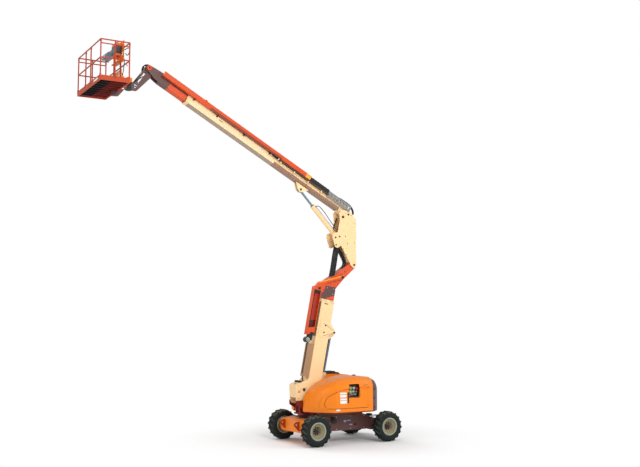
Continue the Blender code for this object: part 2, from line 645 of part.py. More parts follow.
def tower_channel():
    y0, y1 = CHANNEL_Y
    low, high = CHANNEL_N
    wall = CHANNEL_WALL
    run = TOWER.plate([(1.88, high), (1.97, low), (3.40, low), (3.40, high)], y0, y1)
    bend = [TOWER.at(3.20, low), TOWER.at(3.20, high), TOWER.at(3.37, high), (0.70, 4.92),
            (-0.20, 5.14), (-0.14, 5.02), (0.40, 4.90)]  # fmt: skip
    top = side_plate(bend, NOSE_HALF + GAP, y1)
    recess = [(2.10, high - wall), (2.16, low + wall), (3.30, low + wall), (3.30, high - wall)]
    hollow = TOWER.plate(recess, y1 - 0.07, y1 + 0.1)
    # the upright's chin swings in beside the arm when the tower lies down
    pocket = block(0.02, 0.63, NOSE_HALF - 0.1, CHIN_Y, 4.94, 5.30)
    piece("tower_channel", "orange", [run, top], [hollow, pocket])
    chain = TOWER.bar(ROLLER[0], 1.97, 0.02, ROLLER[1], y0 + 0.03, y1 - 0.04)
    roller = pin(*TOWER.at(*ROLLER), y0 + 0.01, y1 - 0.01, 0.09, 16)
    gap = TOWER.plate([(1.88 - GAP, high), (1.97 - GAP, low), (2.3, low), (2.3, high)], y0, y1)
    piece("tower_chain", "black", [chain, roller], [gap])


def lift_cylinder(prefix, foot, eye, barrel_radius, rod_radius, barrel_length, foot_half, closes):
    """A barrel on its foot pin and a rod that slides out of it to its eye."""
    along = Vector((eye[0] - foot[0], 0, eye[1] - foot[1]))
    length = along.length
    way = along / length

    def at(s):
        return foot[0] + way.x * s, 0, foot[1] + way.z * s

    barrel = rod(at(-0.02), at(barrel_length), barrel_radius, 20)
    ear = EAR_GAP - GAP
    foot_eye = pin(*foot, -foot_half, foot_half, barrel_radius * 0.7, 20)
    bore = rod(at(0.05), at(barrel_length + 0.1), rod_radius + 0.0005, 20)
    origin = (foot[0], 0, foot[1])
    piece(f"{prefix}_barrel", "cream", [barrel, foot_eye], [bore], origin=origin)
    stem = rod(at(closes + 0.06), at(length - 0.02), rod_radius, 20)
    rod_eye = pin(*eye, -ear, ear, ROD_EYE_RADIUS, 20)
    piece(f"{prefix}_rod", "steel", [stem, rod_eye], origin=origin)


# --- upright and main boom ----------------------------------------------------------------------
BOOM = Run(UPRIGHT_PIN, BOOM_ANGLE)
UPRIGHT_HALF_WIDTH = 0.205
UPRIGHT_INNER = NOSE_HALF + CLEAR
MAIN_CYL_FOOT = (-0.08, 6.37)
MAIN_LUG = (1.80, 0.19)  # s and n of the lift cylinder's eye
PUSH_Y = (0.16, 0.27)
PUSH_N = (-0.31, -0.17)
TRAY_END = 3.0


def upright():
    outline = [(-0.70, 5.46), (-0.67, 5.40), (-0.60, 5.38), (-0.51, 5.46), (-0.14, 6.09),
               (-0.02, 6.01), (0.07, 6.03), (0.17, 6.36), (0.16, 6.45), (0.08, 6.49),
               (-0.02, 6.50), (-0.11, 6.87), (-0.08, 7.12), (-0.16, 7.23), (-0.42, 7.21),
               (-0.60, 7.07), (-0.71, 6.91)]  # fmt: skip
    inner = UPRIGHT_INNER
    plates = [
        side_plate(outline, *sorted((side * inner, side * UPRIGHT_HALF_WIDTH))) for side in (-1, 1)
    ]
    heads = [  # x, z and radius of the pin heads and bosses on each side
        (*NOSE, 0.055), (*UPRIGHT_PIN, 0.05), (-0.21, 7.00, 0.06), (0.07, 6.33, 0.035),
        (0.05, 6.10, 0.03), (*MAIN_CYL_FOOT, 0.04), (-0.37, 6.15, 0.02), (-0.30, 6.38, 0.02)]  # fmt: skip
    for side in (-1, 1):
        plates.append(pin(*NOSE, side * (NOSE_HALF + GAP), side * (inner + 0.01), 0.07, 20))
        seat = side * (BOOM_HALF_WIDTH + GAP)
        plates.append(pin(*UPRIGHT_PIN, seat, side * (inner + 0.01), 0.06, 20))
        outer = UPRIGHT_HALF_WIDTH
        for x, z, radius in heads:
            plates.append(pin(x, z, side * (outer - 0.01), side * (outer + 0.012), radius, 12))
    web = block(-0.68, -0.64, -inner - 0.01, inner + 0.01, 5.85, 6.80)
    shelf = side_plate([(-0.66, 5.98), (-0.15, 6.20), (-0.15, 6.24), (-0.66, 6.02)],
                       -inner - 0.01, inner + 0.01)  # fmt: skip
    piece("upright", "cream", [*plates, web, shelf], origin=(NOSE[0], 0, NOSE[1]))


GUARD_SLOTS = [0.08 + 0.125 * i for i in range(7)]  # where the hose guard's slots start


def main_boom():
    half = BOOM_HALF_WIDTH
    outside, hole = BOOM.tube(BOOM_START, BOOM_END, BOOM_OVER, BOOM_UNDER, half, BOOM_WALL)
    bpy.data.objects.remove(hole)
    hollow = BOOM.bar(0.62, BOOM_END + 0.5, BOOM_OVER + BOOM_WALL, BOOM_UNDER - BOOM_WALL,
                      -half + BOOM_WALL, half - BOOM_WALL)  # fmt: skip
    tail = [(0.0, 0.09), (-0.07, 0.06), (-0.09, 0.0), (-0.07, -0.06), (0.15, BOOM_OVER),
            (0.40, BOOM_OVER), (0.40, BOOM_UNDER)]  # fmt: skip
    hub = BOOM.plate(tail, -half, half)
    s, n = MAIN_LUG
    lug = [(s - 0.28, BOOM_UNDER - 0.005), (s - 0.08, n + 0.05), (s, n + 0.075),
           (s + 0.08, n + 0.05), (s + 0.28, BOOM_UNDER - 0.005)]  # fmt: skip
    reach = (EAR_GAP, EAR_GAP + EAR)
    ears = [BOOM.plate(lug, *sorted((side * reach[0], side * reach[1]))) for side in (-1, 1)]
    origin = (UPRIGHT_PIN[0], 0, UPRIGHT_PIN[1])
    piece("main_base", "cream", [outside, hub, *ears], [hollow], origin=origin)
    y0, y1 = half + GAP, PUSH_Y[1] + 0.02
    tray = BOOM.bar(1.0, TRAY_END, -0.125, -0.11, y0, y1)
    lip = BOOM.bar(1.0, TRAY_END, -0.15, -0.11, y1 - 0.012, y1)
    piece("main_tray", "cream", [tray, lip])
    outer = UPRIGHT_HALF_WIDTH + 0.012 + CLEAR  # past the upright's pin heads
    guard = BOOM.bar(0.03, 0.97, -0.27, -0.07, outer, outer + 0.025)
    feet = [BOOM.bar(s, s + 0.05, -0.20, -0.14, y0, outer + 0.01) for s in (0.52, 0.90)]
    slots = [BOOM.bar(s, s + 0.06, -0.22, -0.12, outer - 0.1, outer + 0.1) for s in GUARD_SLOTS]
    piece("hose_guard", "panel", [guard, *feet], slots)


EAR_INNER = 0.075  # from the middle plane to the fly's ears
CHAIN_LINKS = [1.02 + 0.10 * i for i in range(7)]  # where the hose track's links start


def main_fly():
    gap = BOOM_WALL + FLY_GAP
    half = BOOM_HALF_WIDTH - gap
    over, under = BOOM_OVER + gap, BOOM_UNDER - gap
    s, n = FLY_TIP
    end = s - 0.42  # where the box ends and the two ears go on
    shaft = BOOM.bar(1.9, end, over, under, -half, half)
    pads = wear_pads(BOOM, 1.95, over, under, half)
    bore = BOOM.bar(1.5, end - 0.1, over + 0.01, under - 0.01, -half + 0.01, half - 0.01)
    over, under = over + 0.002, under - 0.002
    tip = [(end - 0.15, over), (end + 0.15, over), (s + 0.06, n - 0.08), (s + 0.10, n),
           (s + 0.06, n + 0.08), (end + 0.15, under - 0.02), (end, under),
           (end - 0.15, under)]  # fmt: skip
    ears = [BOOM.plate(tip, *sorted((side * EAR_INNER, side * (half - 0.002)))) for side in (-1, 1)]
    ears += [pin(*BOOM.at(s, n), side * (half - 0.01), side * (half + 0.02), 0.055) for side in (-1, 1)]
    piece("main_fly", "brown", [shaft, *ears, *pads], [bore])
    y0, y1 = PUSH_Y
    tube = BOOM.bar(1.75, end, *PUSH_N, y0, y1)
    bracket = BOOM.bar(end - 0.2, end - 0.02, -0.26, -0.18, half + GAP, y0 + 0.02)
    piece("main_push_tube", "orange", [tube, bracket])
    chain = BOOM.bar(0.98, 1.75 - GAP, -0.285, -0.17, y0 + 0.01, y1 - 0.01)
    cheeks = [BOOM.bar(s, s + 0.05, -0.29, -0.165, y0 + 0.005, y1 - 0.005) for s in CHAIN_LINKS]
    piece("main_chain", "black", [chain, *cheeks])


# --- platform -----------------------------------------------------------------------------------
TIP_X, TIP_Z = BOOM.at(*FLY_TIP)
ARM_BOTTOM, ARM_TOP = 10.29, 10.48
ARM_HALF = 0.065
PLATFORM_TOP = PLATFORM_BOTTOM + PLATFORM_HEIGHT
PLATFORM_FRONT = PLATFORM_REAR + PLATFORM_DEPTH


def support_arm():
    x, z = TIP_X, TIP_Z
    outline = [(x - 0.08, z - 0.06), *arc((x, z), 0.085, 160, 40, 5), (x + 0.12, z + 0.0),
               (6.62, 10.60), (6.70, ARM_TOP), (6.94, ARM_TOP), (6.94, ARM_BOTTOM),
               (6.59, ARM_BOTTOM), (x - 0.08, z - 0.26)]  # fmt: skip
    arm = side_plate(outline, -ARM_HALF, ARM_HALF)
    boss = pin(x, z, GAP - EAR_INNER, EAR_INNER - GAP, 0.05, 20)
    gap = [(x + 0.10, z - 0.10), (6.58, 10.56), (6.58, 10.48), (x + 0.06, z - 0.13)]
    window = side_plate(gap, -0.1, 0.1)
    piece("support_arm", "brown", [arm, boss], [window], origin=(TIP_X, 0, TIP_Z))


FLOOR_BAYS = 9  # between the floor's cross joists
FLOOR_LOW, FLOOR_TOP = 0.045, 0.057  # the floor sheet's underside and top, above the bottom
SECOND_RAIL = 0.13  # under the top rail on the short sides
GATE = (-0.33, 0.17)  # the entry's two posts, on the front side


def platform():
    y = PLATFORM_WIDTH / 2
    post = rod((ROTATOR_X, 0, ARM_TOP + GAP), (ROTATOR_X, 0, ARM_TOP + 0.14), 0.10, 24)
    reach = block(ROTATOR_X, PLATFORM_REAR - GAP, -0.09, 0.09, ARM_TOP + 0.02, ARM_TOP + 0.12)
    plate = block(PLATFORM_REAR - 0.02, PLATFORM_REAR - GAP, -0.30, 0.30, 10.22, ARM_TOP + 0.30)
    origin = (ROTATOR_X, 0, ARM_TOP)
    piece("rotator", "orange", [post, reach, plate], origin=origin)

    toe, wall = 0.13, 0.02
    x0, x1, low = PLATFORM_REAR, PLATFORM_FRONT, PLATFORM_BOTTOM
    floor = block(x0, x1, -y, y, low, low + toe)
    wells = [block(x0 + wall, x1 - wall, -y + wall, y - wall, low + FLOOR_TOP, low + 1)]
    bay = (2 * y - wall) / FLOOR_BAYS
    for i in range(FLOOR_BAYS):
        left = -y + wall + i * bay
        wells.append(block(x0 + 0.04, x1 - 0.04, left, left + bay - wall, low - 1, low + FLOOR_LOW))
    piece("platform_floor", "orange", [floor], wells)

    rails = []
    x0, x1 = PLATFORM_REAR + RAIL, PLATFORM_FRONT - RAIL
    y0, y1 = -y + RAIL, y - RAIL
    corners = [(x0, y0), (x1, y0), (x1, y1), (x0, y1)]
    foot = PLATFORM_BOTTOM + toe + GAP
    for level in (PLATFORM_TOP - RAIL, PLATFORM_BOTTOM + 0.62):
        for i, (ax, ay) in enumerate(corners):
            bx, by = corners[(i + 1) % 4]
            rails.append(rod((ax, ay, level), (bx, by, level), RAIL, 8))
    for cx, cy in corners:
        rails.append(rod((cx, cy, foot), (cx, cy, PLATFORM_TOP - RAIL), RAIL, 8))
    for cy in GATE:
        rails.append(rod((x1, cy, foot), (x1, cy, PLATFORM_TOP - RAIL), RAIL, 8))
    for cy in (-0.32, 0.32):
        rails.append(rod((x0, cy, foot), (x0, cy, PLATFORM_TOP - RAIL), RAIL, 8))
    middle, second = (x0 + x1) / 2, PLATFORM_TOP - SECOND_RAIL
    for cy in (y0, y1):
        rails.append(rod((middle, cy, foot), (middle, cy, PLATFORM_TOP - RAIL), RAIL, 8))
        rails.append(rod((x0, cy, second), (x1, cy, second), RAIL * 0.9, 8))
    near, far = GATE[0] + RAIL, GATE[1] - RAIL
    gate = block(x1 - 0.1, x1 + 0.1, near, far, PLATFORM_BOTTOM + 0.5, PLATFORM_BOTTOM + 0.8)
    piece("platform_rails", "orange", rails, [gate])
    level = PLATFORM_BOTTOM + 0.62
    bar = rod((x1, near + GAP, level), (x1, far - GAP, level), RAIL, 12)
    piece("entry_bar", "orange", [bar])
    # the controls stand on the rear rails: an orange back plate with a box, a sloped panel, a hoop
    seat, top = x0 + RAIL + GAP, PLATFORM_TOP + 0.18
    plate = block(seat, seat + 0.012, 0.02, 0.68, PLATFORM_TOP - 0.42, top)
    lip = block(seat, seat + 0.16, 0.02, 0.68, PLATFORM_TOP - 0.42, PLATFORM_TOP - 0.40)
    piece("console_plate", "orange", [plate, lip])
    face = seat + 0.012 + GAP
    piece("console", "black", [block(face, face + 0.16, 0.06, 0.48, PLATFORM_TOP - 0.22, top - 0.04)])
    slope = [(seat, PLATFORM_TOP - 0.10), (seat + 0.26, PLATFORM_TOP - 0.10),
             (seat + 0.26, PLATFORM_TOP - 0.02), (seat, PLATFORM_TOP + 0.15)]  # fmt: skip
    piece("console_panel", "panel", [side_plate(slope, -0.70, -0.26)])
    hoop_x, hoop_top = seat + 0.016, PLATFORM_TOP + 0.18
    bars = [(-1.00, -0.78), (PLATFORM_TOP - 0.12, hoop_top)]
    hoop = [rod((hoop_x, cy, bars[1][0]), (hoop_x, cy, bars[1][1]), 0.016, 8) for cy in bars[0]]
    hoop.append(rod((hoop_x, bars[0][0], hoop_top), (hoop_x, bars[0][1], hoop_top), 0.016, 8))
    piece("guard_hoop", "red", hoop)


# --- assembly -----------------------------------------------------------------------------------
def build():
    for thing in list(bpy.data.objects):
        bpy.data.objects.remove(thing)
    machine = bpy.data.objects.new("machine", None)
    bpy.context.scene.collection.objects.link(machine)
    machine.location = (-MIDDLE_X, 0, 0)
    chassis()
    knuckles()
    wheels()
    turntable()
    counterweight()
    hoods()
    inside_the_hoods()
    tower()
    tower_fly()
    tower_channel()
    lift_cylinder(
        "tower_cyl", TOWER_CYL_FOOT, TOWER.at(*TOWER_LUG), TOWER_BARREL, 0.042, 1.13,
        FOOT_GAP - GAP, 1.025,
    )
    upright()
    main_boom()
    main_fly()
    lift_cylinder(
        "main_cyl", MAIN_CYL_FOOT, BOOM.at(*MAIN_LUG), MAIN_BARREL, 0.035, 1.30,
        UPRIGHT_INNER - GAP, 0.42,
    )
    support_arm()
    platform()


build()
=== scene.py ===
"""An articulating boom lift of the 60-foot class, parked with its tower up and its boom raised.
The sections follow the machine as it is put together, from the chassis up to the platform."""

import math

import bmesh
import bpy
from mathutils import Matrix, Vector
from mathutils.bvhtree import BVHTree


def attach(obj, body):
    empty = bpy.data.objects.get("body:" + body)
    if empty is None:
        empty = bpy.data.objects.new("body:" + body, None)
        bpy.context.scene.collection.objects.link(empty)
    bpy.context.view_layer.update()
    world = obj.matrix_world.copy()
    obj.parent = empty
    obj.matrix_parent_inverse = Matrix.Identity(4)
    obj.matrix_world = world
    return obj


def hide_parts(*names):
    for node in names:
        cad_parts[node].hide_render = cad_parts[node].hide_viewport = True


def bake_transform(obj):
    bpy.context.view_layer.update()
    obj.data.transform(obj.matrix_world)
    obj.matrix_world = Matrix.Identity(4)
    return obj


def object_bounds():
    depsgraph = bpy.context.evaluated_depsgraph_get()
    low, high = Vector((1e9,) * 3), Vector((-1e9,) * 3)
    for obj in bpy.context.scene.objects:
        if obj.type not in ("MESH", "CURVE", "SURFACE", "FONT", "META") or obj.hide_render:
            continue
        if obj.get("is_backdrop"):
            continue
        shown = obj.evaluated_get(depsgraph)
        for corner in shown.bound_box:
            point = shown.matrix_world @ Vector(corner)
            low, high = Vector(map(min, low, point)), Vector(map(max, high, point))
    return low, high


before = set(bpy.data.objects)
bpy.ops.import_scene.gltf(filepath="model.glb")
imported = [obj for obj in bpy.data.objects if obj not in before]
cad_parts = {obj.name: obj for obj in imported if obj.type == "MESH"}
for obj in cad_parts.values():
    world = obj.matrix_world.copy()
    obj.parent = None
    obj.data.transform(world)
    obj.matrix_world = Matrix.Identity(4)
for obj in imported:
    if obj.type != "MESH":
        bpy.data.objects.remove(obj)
scene = bpy.context.scene
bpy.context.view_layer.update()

# --- Chassis ---
# A welded steel frame, painted, with a broad orange front beam between the fixed wheels. Its paint
# is sprayed enamel: an orange peel in the gloss, road dust on what faces up.
UP = (0, 0, 1)
MACHINE_X = -3.13  # the swing axis, in the frame's coordinates
AXLE_X, WHEEL_Z = 1.27, 0.46  # the wheels' centres, ahead of the swing axis and above the floor
DUST = (0.50, 0.42, 0.33, 1)
DUSTY_FROM, DUSTY_TO = 0.55, 1.0  # how far a surface faces up for no dust and for all of it
SCREEN_GAMMA, SPECULAR = 2.2, 0.35
CLOUD_SCALE = 1.7  # the mottle's, which makes blotches half a metre across
PEEL, PEEL_STRENGTH = 0.00012, 0.35
ORANGE = (238, 126, 14)
# painted shade: the brown that orange parts take where they lie in shade
SHADE_BROWN = (92, 63, 59)


def feed(tree, node, inputs):
    """Links or sets each input of a node."""
    for key, value in inputs.items():
        if isinstance(value, bpy.types.NodeSocket):
            tree.links.new(value, node.inputs[key])
        else:
            node.inputs[key].default_value = value


def grow(tree, kind, output, inputs=None, **settings):
    """Adds a node with these inputs and gives its output of that name."""
    node = tree.nodes.new(f"ShaderNode{kind}")
    for key, value in settings.items():
        setattr(node, key, value)
    feed(tree, node, inputs or {})
    return node.outputs[output]


def times(tree, one, other):
    return grow(tree, "Math", "Value", {0: one, 1: other}, operation="MULTIPLY")


def ramp(tree, value, **ends):
    """A value taken from one range to another, by from_min, from_max, to_min and to_max."""
    ends = {key.replace("_", " ").title(): end for key, end in ends.items()}
    return grow(tree, "MapRange", "Result", {"Value": value, **ends})


def side_of_planes(tree, place, planes, soft=0.002):
    """A mask that is 1 where a point lies on the inner side of every plane, as (normal, offset)."""
    mask = 1.0
    for normal, offset in planes:
        reach = grow(tree, "VectorMath", "Value", {0: place, 1: normal}, operation="DOT_PRODUCT")
        mask = times(tree, mask, ramp(tree, reach, from_min=offset - soft, from_max=offset + soft))
    return mask


def enamel(name, tone, roughness, dust=0.25, metallic=0.0, mottle=0.07, peel=PEEL, grain=70,
           patches=()):
    """Paint, plastic or metal with a slight mottle, a fine grain in its gloss, and dust on top.
    Tones are screen values of 0 to 255. Patches are (tone, planes), other tones inside planes."""
    made = bpy.data.materials.new(name)
    made.use_nodes = True
    tree = made.node_tree

    def linear(screen, factor=1.0):
        return (*[min(1, (c / 255) ** SCREEN_GAMMA * factor) for c in screen], 1)

    def mix(share, one, other):
        inputs = {"Factor": share, "A": one, "B": other}
        return grow(tree, "Mix", "Result", inputs, data_type="RGBA")

    where = grow(tree, "TexCoord", "Object")
    cloud = grow(tree, "TexNoise", "Fac", {
        "Vector": where, "Scale": CLOUD_SCALE, "Detail": 6, "Roughness": 0.65,
    })
    fine = grow(tree, "TexNoise", "Fac", {"Vector": where, "Scale": grain, "Detail": 3})
    colour = mix(cloud, linear(tone, 1 - mottle * 2), linear(tone, 1 + mottle))
    for other, planes in patches:
        colour = mix(side_of_planes(tree, where, planes), colour, linear(other))
    up = grow(tree, "SeparateXYZ", "Z", {"Vector": grow(tree, "NewGeometry", "Normal")})
    lying = ramp(tree, up, from_min=DUSTY_FROM, from_max=DUSTY_TO, to_max=dust)
    colour = mix(times(tree, lying, cloud), colour, DUST)
    feed(tree, tree.nodes["Principled BSDF"], {
        "Base Color": colour, "Metallic": metallic, "Specular IOR Level": SPECULAR,
        "Roughness": ramp(tree, cloud, to_min=roughness - 0.07, to_max=roughness + 0.10),
        "Normal": grow(tree, "Bump", "Normal", {
            "Height": fine, "Strength": PEEL_STRENGTH, "Distance": peel,
        }),
    })
    return made


def wear(material, *nodes):
    """Puts one material on CAD pieces."""
    for name in nodes:
        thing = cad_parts[name]
        thing.data.materials.clear()
        thing.data.materials.append(material)


def finished(bm, name, material, smooth=40):
    """A closed mesh made into an object, shaded smooth but for its sharp edges."""
    bmesh.ops.remove_doubles(bm, verts=bm.verts, dist=0.00001)
    bmesh.ops.recalc_face_normals(bm, faces=bm.faces)
    mesh = bpy.data.meshes.new(name)
    bm.to_mesh(mesh)
    bm.free()
    mesh.shade_smooth()
    mesh.set_sharp_from_angle(angle=math.radians(smooth))
    thing = bpy.data.objects.new(name, mesh)
    scene.collection.objects.link(thing)
    mesh.materials.append(material)
    return thing


def xyz(x, y, z):
    """A place counted from the swing axis, in the frame's coordinates."""
    return Vector((x + MACHINE_X, y, z))


def add_prism(bm, corners, push, bevel):
    """Adds a flat outline of corners pushed along a vector, with rounded edges."""
    one = bmesh.new()
    face = one.faces.new([one.verts.new(corner) for corner in corners])
    moved = bmesh.ops.extrude_face_region(one, geom=[face])["geom"]
    verts = [v for v in moved if isinstance(v, bmesh.types.BMVert)]
    bmesh.ops.translate(one, verts=verts, vec=push)
    if bevel:
        bmesh.ops.bevel(one, geom=one.edges[:], offset=bevel, segments=2, affect="EDGES")
    mesh = bpy.data.meshes.new("part")
    one.to_mesh(mesh)
    one.free()
    bm.from_mesh(mesh)
    bpy.data.meshes.remove(mesh)


def settled(bm, name, body, material):
    """A closed mesh made into an object that rides on a body."""
    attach(finished(bm, name, material), body)


def blocks(name, body, material, rows, bevel=0.004):
    """Rounded boxes in one piece: rows of x0, x1, y0, y1, z0, z1."""
    bm = bmesh.new()
    for x0, x1, y0, y1, z0, z1 in rows:
        foot = [xyz(x0, y0, z0), xyz(x1, y0, z0), xyz(x1, y1, z0), xyz(x0, y1, z0)]
        add_prism(bm, foot, (0, 0, z1 - z0), bevel)
    settled(bm, name, body, material)


def circle(middle, across, up, radius, steps, lead=0.0):
    """Corners around a middle."""
    turns = [math.tau * (k + lead) / steps for k in range(steps)]
    return [middle + (across * math.cos(t) + up * math.sin(t)) * radius for t in turns]


def add_rings(bm, rings, loop=False):
    """Adds a form through rings of corners, closed at both ends or going round to the first."""
    rings = [[bm.verts.new(corner) for corner in ring] for ring in rings]
    for here, there in zip(rings, rings[1:] + rings[:1] if loop else rings[1:]):
        for k in range(len(here)):
            j = (k + 1) % len(here)
            bm.faces.new((here[k], here[j], there[j], there[k]))
    if not loop:
        bm.faces.new(rings[0])
        bm.faces.new(rings[-1])


def add_turned(bm, start, way, profile, steps, ring=False):
    """Adds a round form: corners of radius and distance, turned about a line from start. A ring is
    open along its middle."""
    way = Vector(way).normalized()
    across = way.cross(UP) if abs(way.z) < 0.9 else way.cross((0, 1, 0))
    across.normalize()
    up = way.cross(across)
    add_rings(bm, [
        circle(start + way * along, across, up, radius, steps, 0.5) for radius, along in profile
    ], ring)


def turned(name, body, material, rows, profile, steps=40, ring=False):
    """Round forms of one profile in one piece: rows of a start place and a direction."""
    bm = bmesh.new()
    for start, way in rows:
        add_turned(bm, start, way, profile, steps, ring)
    settled(bm, name, body, material)


def bolts(name, body, material, rows, radius=0.014):
    """Hexagon heads on washers: rows of a place and the way out of the surface."""
    bm = bmesh.new()
    r = radius
    for start, way in rows:
        add_turned(bm, start, way, [(1.5 * r, -0.002), (1.5 * r, 0.2 * r), (1.4 * r, 0.3 * r)], 16)
        add_turned(bm, start, way, [(r, 0.0), (r, 0.85 * r), (0.8 * r, 1.0 * r)], 6)
    settled(bm, name, body, material)


def smooth_line(points, fine=8):
    """Points along a smooth curve through these."""
    ends = [points[0] * 2 - points[1], *points, points[-1] * 2 - points[-2]]
    path = []
    for a, b, c, d in zip(ends, ends[1:], ends[2:], ends[3:]):
        for k in range(fine):
            t = k / fine
            bend = (2 * a - 5 * b + 4 * c - d) * t * t + (3 * b - a - 3 * c + d) * t**3
            path.append(0.5 * (2 * b + (c - a) * t + bend))
    return [*path, points[-1]]


def add_hose(bm, points, radius, fine=8, steps=10):
    """Adds a round hose along a smooth curve through those places."""
    path = smooth_line([Vector(p) for p in points], fine)
    way = (path[1] - path[0]).normalized()
    across = way.cross((0, 1, 0)) if abs(way.y) < 0.9 else way.cross(UP)
    rings = []
    for i, spot in enumerate(path):
        way = (path[min(i + 1, len(path) - 1)] - path[max(i - 1, 0)]).normalized()
        across = (across - way * across.dot(way)).normalized()
        rings.append(circle(spot, across, way.cross(across), radius, steps))
    add_rings(bm, rings)


def hoses(name, body, material, lines, radius=0.012, across=None, fine=8):
    """Hoses in one piece, each a row of places. Across is (other body, start, end) at a joint; only
    whether it is given is read, and then the hoses are left on no body.
    """
    bm = bmesh.new()
    for line in lines:
        add_hose(bm, [xyz(*p) for p in line], radius, fine)
    thing = finished(bm, name, material, smooth=60)
    if across:
        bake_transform(thing)
    else:
        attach(thing, body)


orange = enamel("orange_enamel", ORANGE, 0.27)
# painted shade: orange parts that lie in shade, painted brown
shade_brown = enamel("shade_brown_enamel", SHADE_BROWN, 0.42)
dark_red = enamel("dark_red_enamel", (150, 52, 30), 0.40)
zinc = enamel("bare_steel", (176, 182, 188), 0.32, metallic=0.85, mottle=0.04)
iron = enamel("cast_iron", (58, 56, 54), 0.62, mottle=0.12, peel=0.004, grain=120)
black = enamel("black_enamel", (26, 27, 29), 0.5)
hose_rubber = enamel("hose_rubber", (24, 27, 28), 0.55, dust=0.35, peel=0.001, grain=300)
blank_white = enamel("blank_label", (226, 228, 224), 0.35, dust=0.05, mottle=0.02)
blank_blue = enamel("blank_mark", (150, 160, 190), 0.4, dust=0.05, mottle=0.04)
# Orange enamel; behind the front beam and below the top the frame's sides are painted brown:
# painted shade, the shadow of the turntable above.
chassis_paint_and_shade = enamel("chassis_enamel_and_shade", ORANGE, 0.38, patches=[
    (SHADE_BROWN, [((-1, 0, 0.45), -0.82 - MACHINE_X), ((0, 0, -1), -0.795)]),
])
wear(chassis_paint_and_shade, "chassis_frame")
# Painted shade: the tie-downs are dark red, the orange of the frame in shade.
wear(dark_red, "tie_down_left", "tie_down_right")
wear(zinc, "swing_bearing")


def ring_of(middle, out, radius, count, lead=0.0):
    """Places around a middle, upright like a wheel, each with the way out of it."""
    spots = circle(middle, Vector((1, 0, 0)), Vector(UP), radius, count, lead)
    return [(spot, out) for spot in spots]


flanges, flange_bolts = [], []
for side in (-1, 1):
    out = (0, side, 0)
    flanges.append((xyz(AXLE_X, side * 0.718, WHEEL_Z), out))
    flange_bolts += ring_of(xyz(AXLE_X, side * 0.744, WHEEL_Z), out, 0.185, 12)
turned("axle_flanges", "chassis", chassis_paint_and_shade, flanges,
       [(0.21, 0), (0.21, 0.022), (0.205, 0.026)])
bolts("axle_flange_bolts", "chassis", zinc, flange_bolts, 0.011)
welds = [[(1.022, -0.54, 0.762), (1.022, 0.54, 0.762)]]
for y in (-0.552, 0.552):
    welds += [[(1.02, y, 0.40), (1.02, y, 0.72)], [(-0.952, y, 0.42), (-0.952, y, 0.70)]]
hoses("chassis_welds", "chassis", chassis_paint_and_shade, welds, 0.007, fine=2)
# Painted shade: the tie-down welds are dark red like the tie-downs.
tie_welds = [[(1.501, y, 0.40), (1.501, y, 0.685)] for y in (-0.467, -0.433, 0.433, 0.467)]
hoses("tie_down_welds", "chassis", dark_red, tie_welds, 0.006, fine=2)
MARK = (0.549, 0.5515)  # how far out a mark on the frame's side begins and ends
blocks("chassis_marks", "chassis", blank_blue, [
    (-0.10, -0.01, *MARK, 0.60, 0.66), (-0.26, -0.13, *MARK, 0.63, 0.66),
    (-0.32, -0.22, *MARK, 0.50, 0.53), (-0.20, -0.11, -MARK[1], -MARK[0], 0.60, 0.66),
], 0.0005)
blocks("side_sockets", "chassis", black, [
    (-0.47, -0.38, 0.548, 0.562, 0.49, 0.54), (0.30, 0.42, 0.548, 0.57, 0.72, 0.78),
    (-0.98, -0.95, -0.30, 0.30, 0.50, 0.66),
])
hoses("lock_handle", "chassis", black, [[
    (0.45, 0.565, 0.785), (0.42, 0.60, 0.75), (0.30, 0.61, 0.66), (0.32, 0.61, 0.61),
    (0.40, 0.60, 0.62), (0.43, 0.585, 0.70), (0.40, 0.565, 0.76),
]], 0.017)
bolts("side_panel_bolts", "chassis", zinc, [
    (xyz(x, side * 0.551, z), (0, side, 0))
    for side in (-1, 1) for x in (-0.75, -0.25, 0.25, 0.70) for z in (0.40, 0.765)
], 0.010)

